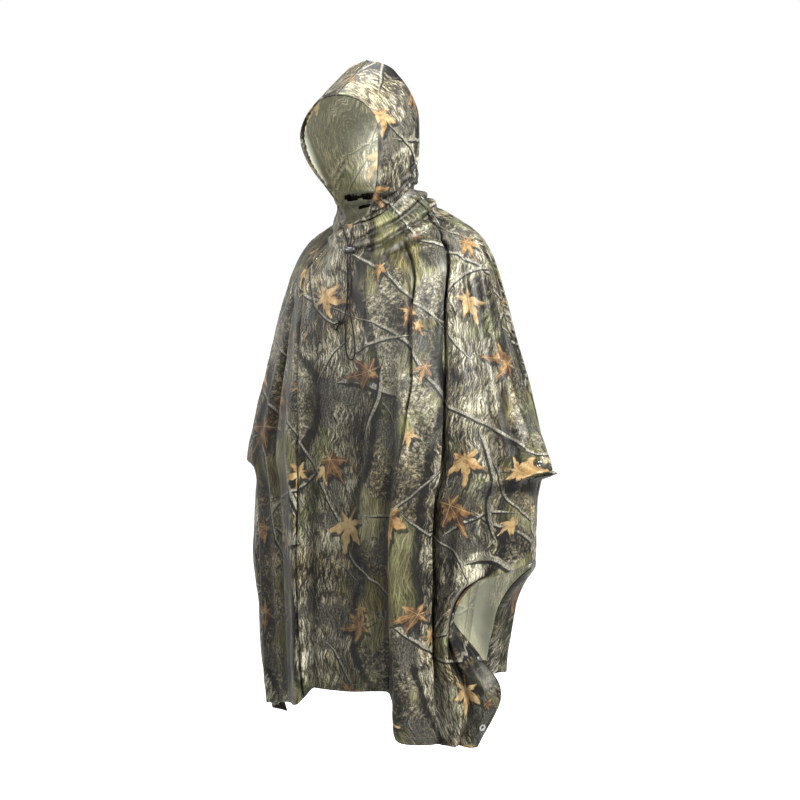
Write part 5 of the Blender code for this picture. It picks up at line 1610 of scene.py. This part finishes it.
class PONCHO_OT_camera(bpy.types.Operator):
    """Set the camera in front of the wearer's left shoulder"""
    bl_idname = "poncho.camera"
    bl_label = "Camera"

    def execute(self, context):
        data = bpy.data.cameras.new("camera")
        data.lens = context.scene.poncho_stage.lens
        data.sensor_width = 36.0
        data.dof.use_dof = False
        camera = placed("camera", data)
        turn = math.radians(38)
        rise = math.radians(4)
        back = Vector((math.sin(turn) * math.cos(rise), -math.cos(turn) * math.cos(rise), math.sin(rise)))
        right = Vector((math.cos(turn), math.sin(turn), 0.0))
        up = back.cross(right)
        aim = Vector((0.0, 0.0, -0.41)) + right * 0.018
        camera.matrix_world = Matrix.Translation(aim + back * 4.2) @ Matrix(
            (right, up, back)).transposed().to_4x4()
        context.scene.camera = camera
        return {"FINISHED"}


class PONCHO_OT_cloth(bpy.types.Operator):
    """Cut and shape the front, the back and the two hood halves"""
    bl_idname = "poncho.cloth"
    bl_label = "Cloth panels"

    def execute(self, context):
        wish = context.scene.poncho_cloth
        printed = print_group()
        outside = coated_cloth("printed_cloth_outside", 0.0, printed, wish.print_depth)
        inside = coated_cloth("printed_cloth_inside", wish.washed_inside, printed, INSIDE_DEPTH_WITH_PAINTED_LIGHT)
        lining = coated_cloth("printed_cloth_in_the_hood", wish.washed_hood, printed, INSIDE_DEPTH_WITH_PAINTED_LIGHT)
        pair, hooded = [outside, inside], [outside, lining]
        front, front_lines = cloth_panel("front_cloth", False, wish.front_columns, wish.front_rows, pair)
        back, back_lines = cloth_panel("back_cloth", True, wish.back_columns, wish.back_rows, pair)
        left, left_lines = cloth_hood("hood_left_cloth", 1.0, hooded)
        right, right_lines = cloth_hood("hood_right_cloth", -1.0, hooded)
        BUILT.update(front=front, back=back, left=left, right=right)
        BUILT["lines"] = {"front": front_lines, "back": back_lines, "hood": left_lines + right_lines}
        return {"FINISHED"}


class PONCHO_OT_drawcord(bpy.types.Operator):
    """Lay the drawcord with its knot and lock over the chest"""
    bl_idname = "poncho.drawcord"
    bl_label = "Drawcord"

    def execute(self, context):
        wish = context.scene.poncho_trim
        black = braided("braided_black_cord", tuple(wish.cord_colour))
        plastic = solid_finish("black_plastic", tuple(wish.plastic_colour), 0.38, 0.0, 0.3, 140.0, 0.0001)
        tree = tree_of(BUILT["front"])
        knot_at = over_cloth(tree, (KNOT_T, KNOT_S, 0.0054))[0]
        ahead = over_cloth(tree, (KNOT_T - 0.02, KNOT_S + 0.004, 0.005))[0]
        behind = over_cloth(tree, (KNOT_T + 0.02, KNOT_S - 0.004, 0.005))[0]
        axis = unit(ahead - behind)
        q = column_at(np.float64(KNOT_T), np.float64(KNOT_S), False)
        out = panel_normal(q, np.float64(KNOT_S), False)
        side = unit(np.cross(axis, out))
        out = unit(np.cross(side, axis))
        if side[2] < 0:
            side = -side
        entry = knot_at - axis * 0.009
        leave = knot_at + axis * 0.009
        paths = [
            strand(tree, LEFT_ROUTE, TAIL_LEFT_ROUTE, entry - side * 0.0015, leave + side * 0.0017),
            strand(tree, RIGHT_ROUTE, TAIL_RIGHT_ROUTE, entry + side * 0.0017, leave - side * 0.0015)]
        knot = self.knot(knot_at, axis, side, out, black)
        lock = self.lock(tree, plastic)
        names = (("drawcord_left", "cord_left", "cord_tail_left"),
                 ("drawcord_right", "cord_right", "cord_tail_right"))
        for path, (name, *nodes) in zip(paths, names):
            cord = tube(name, path, CORD_RADIUS, 12, black)
            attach(cord, BODY)
            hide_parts(*nodes)
        return {"FINISHED"}

    def knot(self, at, axis, side, out, material):
        """Overhand knot tied with both ends together."""
        turn = np.linspace(0, 2 * math.pi, 73)
        parts = []
        for shift in (-1.0, 1.0):
            x = (np.sin(turn) + 2 * np.sin(2 * turn)) / 3
            y = (np.cos(turn) - 2 * np.cos(2 * turn)) / 3
            z = -np.sin(3 * turn)
            wide = 1 + 0.17 * shift
            line = (at + np.outer(x * 0.005 * wide, axis) + np.outer(y * 0.0044 * wide, side)
                    + np.outer(z * 0.0019 + shift * 0.0007, out))
            parts.append(tube("knot_turn", line, 0.00125, 10, material))
        knot = joined("drawcord_knot", parts)
        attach(knot, BODY)
        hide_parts("cord_knot")
        return knot

    def lock(self, tree, material):
        """Barrel lock: ribbed ends, a proud middle and one slot for both strands."""
        at = over_cloth(tree, (LOCK_T, LOCK_S, LOCK_RADIUS + 0.0008))[0]
        low = over_cloth(tree, (LOCK_T, LOCK_S + 0.012, 0.007))[0]
        high = over_cloth(tree, (LOCK_T, LOCK_S - 0.012, 0.007))[0]
        down = unit(low - high)
        q = column_at(np.float64(LOCK_T), np.float64(LOCK_S), False)
        out = panel_normal(q, np.float64(LOCK_S), False)
        across = unit(np.cross(down, out))
        out = unit(np.cross(across, down))
        h = LOCK_LENGTH / 2
        r = LOCK_RADIUS
        profile = [(0.0, -h), (r * 0.6, -h), (r * 0.72, -h * 0.98), (r * 0.8, -h * 0.92)]
        for k in range(5):
            z = -h * (0.88 - 0.042 * k)
            rib = ((0.86, 0), (0.86, 0.018), (0.81, 0.024), (0.81, 0.036))
            profile += [(r * wide, z + h * up) for wide, up in rib]
        profile += [(r * 0.86, -h * 0.66), (r * 0.97, -h * 0.64), (r, -h * 0.6)]
        profile += [(radius, -z) for radius, z in reversed(profile)]
        place = Matrix.Translation(Vector(at)) @ Matrix(
            (Vector(down), Vector(out), Vector(across))).transposed().to_4x4()
        barrel = turned("drawcord_lock", profile, 40, place)
        slot = bpy.data.meshes.new("lock_slot")
        work = bmesh.new()
        bmesh.ops.create_cube(work, size=1.0)
        bmesh.ops.bevel(work, geom=work.edges[:], offset=0.16, segments=3, profile=0.6, affect="EDGES")
        size = Matrix.Diagonal((0.03, 0.004, 0.0098, 1.0))
        bmesh.ops.transform(work, matrix=place @ size, verts=work.verts)
        work.to_mesh(slot)
        work.free()
        cutter = placed("lock_slot", slot)
        cut = barrel.modifiers.new("slot", "BOOLEAN")
        cut.operation = "DIFFERENCE"
        cut.solver = "EXACT"
        cut.object = cutter
        bpy.context.view_layer.update()
        mesh = bpy.data.meshes.new_from_object(barrel.evaluated_get(bpy.context.evaluated_depsgraph_get()))
        barrel.modifiers.clear()
        barrel.data = mesh
        bpy.data.objects.remove(cutter)
        mesh.materials.clear()
        mesh.materials.append(material)
        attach(barrel, BODY)
        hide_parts("cord_lock")
        return barrel


class PONCHO_OT_fittings(bpy.types.Operator):
    """Set the snaps down the open sides and the eyelet at the corner"""
    bl_idname = "poncho.fittings"
    bl_label = "Snaps and eyelet"

    def execute(self, context):
        wish = context.scene.poncho_trim
        dark = solid_finish("lacquered_snap", tuple(wish.snap_colour), 0.5, 0.0, 0.35, 260.0, 0.00008)
        bright = solid_finish("rolled_eyelet", tuple(wish.eyelet_colour), 0.4, 1.0, 0.1, 300.0, 0.00005)
        cap = [(0.0, 0.0), (0.006, 0.0), (0.0065, 0.0003), (0.0066, 0.0008), (0.0063, 0.0014), (0.0056, 0.0018),
               (0.0051, 0.0017), (0.0047, 0.0019), (0.0036, 0.0025), (0.0018, 0.0028), (0.0, 0.0028)]
        ring = [(0.0034, 0.0), (0.0074, 0.0), (0.0078, 0.0005), (0.0077, 0.0011), (0.0069, 0.0016),
                (0.0058, 0.0019), (0.0046, 0.0018), (0.0037, 0.0014), (0.0033, 0.0007)]
        trees = {False: tree_of(BUILT["front"]), True: tree_of(BUILT["back"])}
        tree = fitting_tree()
        groups = (("snaps", cap, 28, dark, SNAPS, "snap_dark"),
                  ("corner_eyelet", ring, 36, bright, EYELETS, "eyelet_metal"))
        for name, profile, sides, material, rows, slot_name in groups:
            sample = turned(name + "_shape", profile, sides)
            sample.data.materials.append(material)
            seats = [seat_on(trees[back], q, s, back, profile[2][0]) for _, q, s, back in rows]
            points, outs = zip(*seats)
            values = {"Fitting": sample, "Size": wish.fitting_size, "Material": material}
            made = grown(name, pointed(name + "_places", points, [], outs), tree, values, material)
            bpy.data.objects.remove(sample)
            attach(made, BODY)
            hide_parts(*[row[0] for row in rows])
        return {"FINISHED"}


class PONCHO_OT_sewing(bpy.types.Operator):
    """Sew the hems, the seams and the hood channel"""
    bl_idname = "poncho.sewing"
    bl_label = "Stitches"

    def execute(self, context):
        wish = context.scene.poncho_cloth
        thread = solid_finish("sewing_thread", tuple(wish.thread_colour), 0.7, 0.0, 0.3, 900.0, 0.0001)
        tree = stitch_tree()
        for name, slot_name in (("front", "cloth_front"), ("back", "cloth_back"), ("hood", "cloth_hood_left")):
            source = path_object(name + "_stitch_paths", BUILT["lines"][name])
            values = {"Pitch": wish.stitch_pitch, "Length": wish.stitch_pitch * 0.72,
                      "Thread": wish.thread_width, "Material": thread}
            made = grown(name + "_stitches", source, tree, values, thread)
            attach(made, BODY)
        return {"FINISHED"}


class PONCHO_OT_declare(bpy.types.Operator):
    """Attach each cloth piece to the body and hide the model part that it stands for"""
    bl_idname = "poncho.declare"
    bl_label = "Cloth sizes"

    def execute(self, context):
        rows = (
            ("front", "front_panel", "cloth_front", (1.36, 1.1), 1.15),
            ("back", "back_panel", "cloth_back", (1.3, 1.12), 1.05),
            ("left", "hood_left", "cloth_hood_left", (0.36, 0.32), 0.115),
            ("right", "hood_right", "cloth_hood_right", (0.36, 0.32), 0.115),
        )
        for key, node, slot_name, flat, area in rows:
            piece = BUILT[key]
            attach(piece, BODY)
            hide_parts(node)
        return {"FINISHED"}


class PONCHO_OT_stage(bpy.types.Operator):
    """Lay the pale floor and set the soft lights"""
    bl_idname = "poncho.stage"
    bl_label = "Stage"

    def execute(self, context):
        wish = context.scene.poncho_stage
        work = bmesh.new()
        bmesh.ops.create_circle(work, cap_ends=True, segments=96, radius=60.0)
        bmesh.ops.translate(work, vec=(0, 0, wish.floor_height), verts=work.verts)
        mesh = bpy.data.meshes.new("floor")
        work.to_mesh(mesh)
        work.free()
        mesh.materials.append(floor_finish(tuple(wish.floor_colour), wish.floor_glow))
        floor = placed("floor", mesh)
        lights = (
            ("key_light", wish.key_power, 0.8, 180, (2.15, -0.45, 1.45), (0.0, 0.0, -0.4)),
            ("fill_light", wish.fill_power, 0.7, 38, (-0.35, -2.1, 0.45), (0.0, -0.1, 0.06)),
            ("side_light", wish.side_power, 1.2, 180, (-2.3, -0.9, 0.3), (0.0, 0.0, -0.45)),
            ("top_light", wish.top_power, 0.7, 180, (-0.45, -0.35, 1.9), (0.0, 0.0, -0.2)),
        )
        for name, power, size, spread, spot, aim in lights:
            data = bpy.data.lights.new(name, "AREA")
            data.shape = "DISK"
            data.size = size
            data.energy = power
            data.spread = math.radians(spread)
            lamp = placed(name, data)
            lamp.location = spot
            lamp.rotation_euler = (Vector(spot) - Vector(aim)).to_track_quat("Z", "Y").to_euler()
        world = bpy.data.worlds.new("pale_room")
        world.use_nodes = True
        g = Graph(world.node_tree)
        rise = g.split(g.put("ShaderNodeTexCoord")["Generated"])[2]
        sky = world.node_tree.nodes["Background"]
        g.feed(sky.inputs["Strength"], g.step(rise, 0.15, 0.38, out_low=1.0, out_high=wish.ceiling_tone))
        sky.inputs["Color"].default_value = (1.0, 1.0, 1.0, 1.0)
        context.scene.world = world
        context.scene.view_settings.view_transform = "Standard"
        return {"FINISHED"}


class PONCHO_PT_sidebar(bpy.types.Panel):
    """Lists the poncho's settings and the steps that build it"""
    bl_idname = "PONCHO_PT_sidebar"
    bl_label = "Rain poncho"
    bl_space_type = "VIEW_3D"
    bl_region_type = "UI"
    bl_category = "Poncho"

    def draw(self, context):
        column = self.layout.column()
        for step in STEPS:
            column.operator(step.bl_idname)
        for group in (context.scene.poncho_cloth, context.scene.poncho_trim, context.scene.poncho_stage):
            box = self.layout.box()
            for key in group.__annotations__:
                box.prop(group, key)


STEPS = (PONCHO_OT_camera, PONCHO_OT_cloth, PONCHO_OT_drawcord, PONCHO_OT_fittings,
         PONCHO_OT_sewing, PONCHO_OT_declare, PONCHO_OT_stage)
GROUPS = (("poncho_cloth", PonchoCloth), ("poncho_trim", PonchoTrim), ("poncho_stage", PonchoStage))


def register():
    for key, group in GROUPS:
        bpy.utils.register_class(group)
        setattr(bpy.types.Scene, key, bpy.props.PointerProperty(type=group))
    for step in STEPS:
        bpy.utils.register_class(step)
    bpy.utils.register_class(PONCHO_PT_sidebar)


def unregister():
    bpy.utils.unregister_class(PONCHO_PT_sidebar)
    for step in reversed(STEPS):
        bpy.utils.unregister_class(step)
    for key, group in reversed(GROUPS):
        delattr(bpy.types.Scene, key)
        bpy.utils.unregister_class(group)


def main():
    register()
    bpy.ops.poncho.camera()
    bpy.ops.poncho.cloth()
    bpy.ops.poncho.declare()
    bpy.ops.poncho.drawcord()
    bpy.ops.poncho.fittings()
    bpy.ops.poncho.sewing()
    bpy.ops.poncho.stage()


if __name__ == "__main__":
    main()
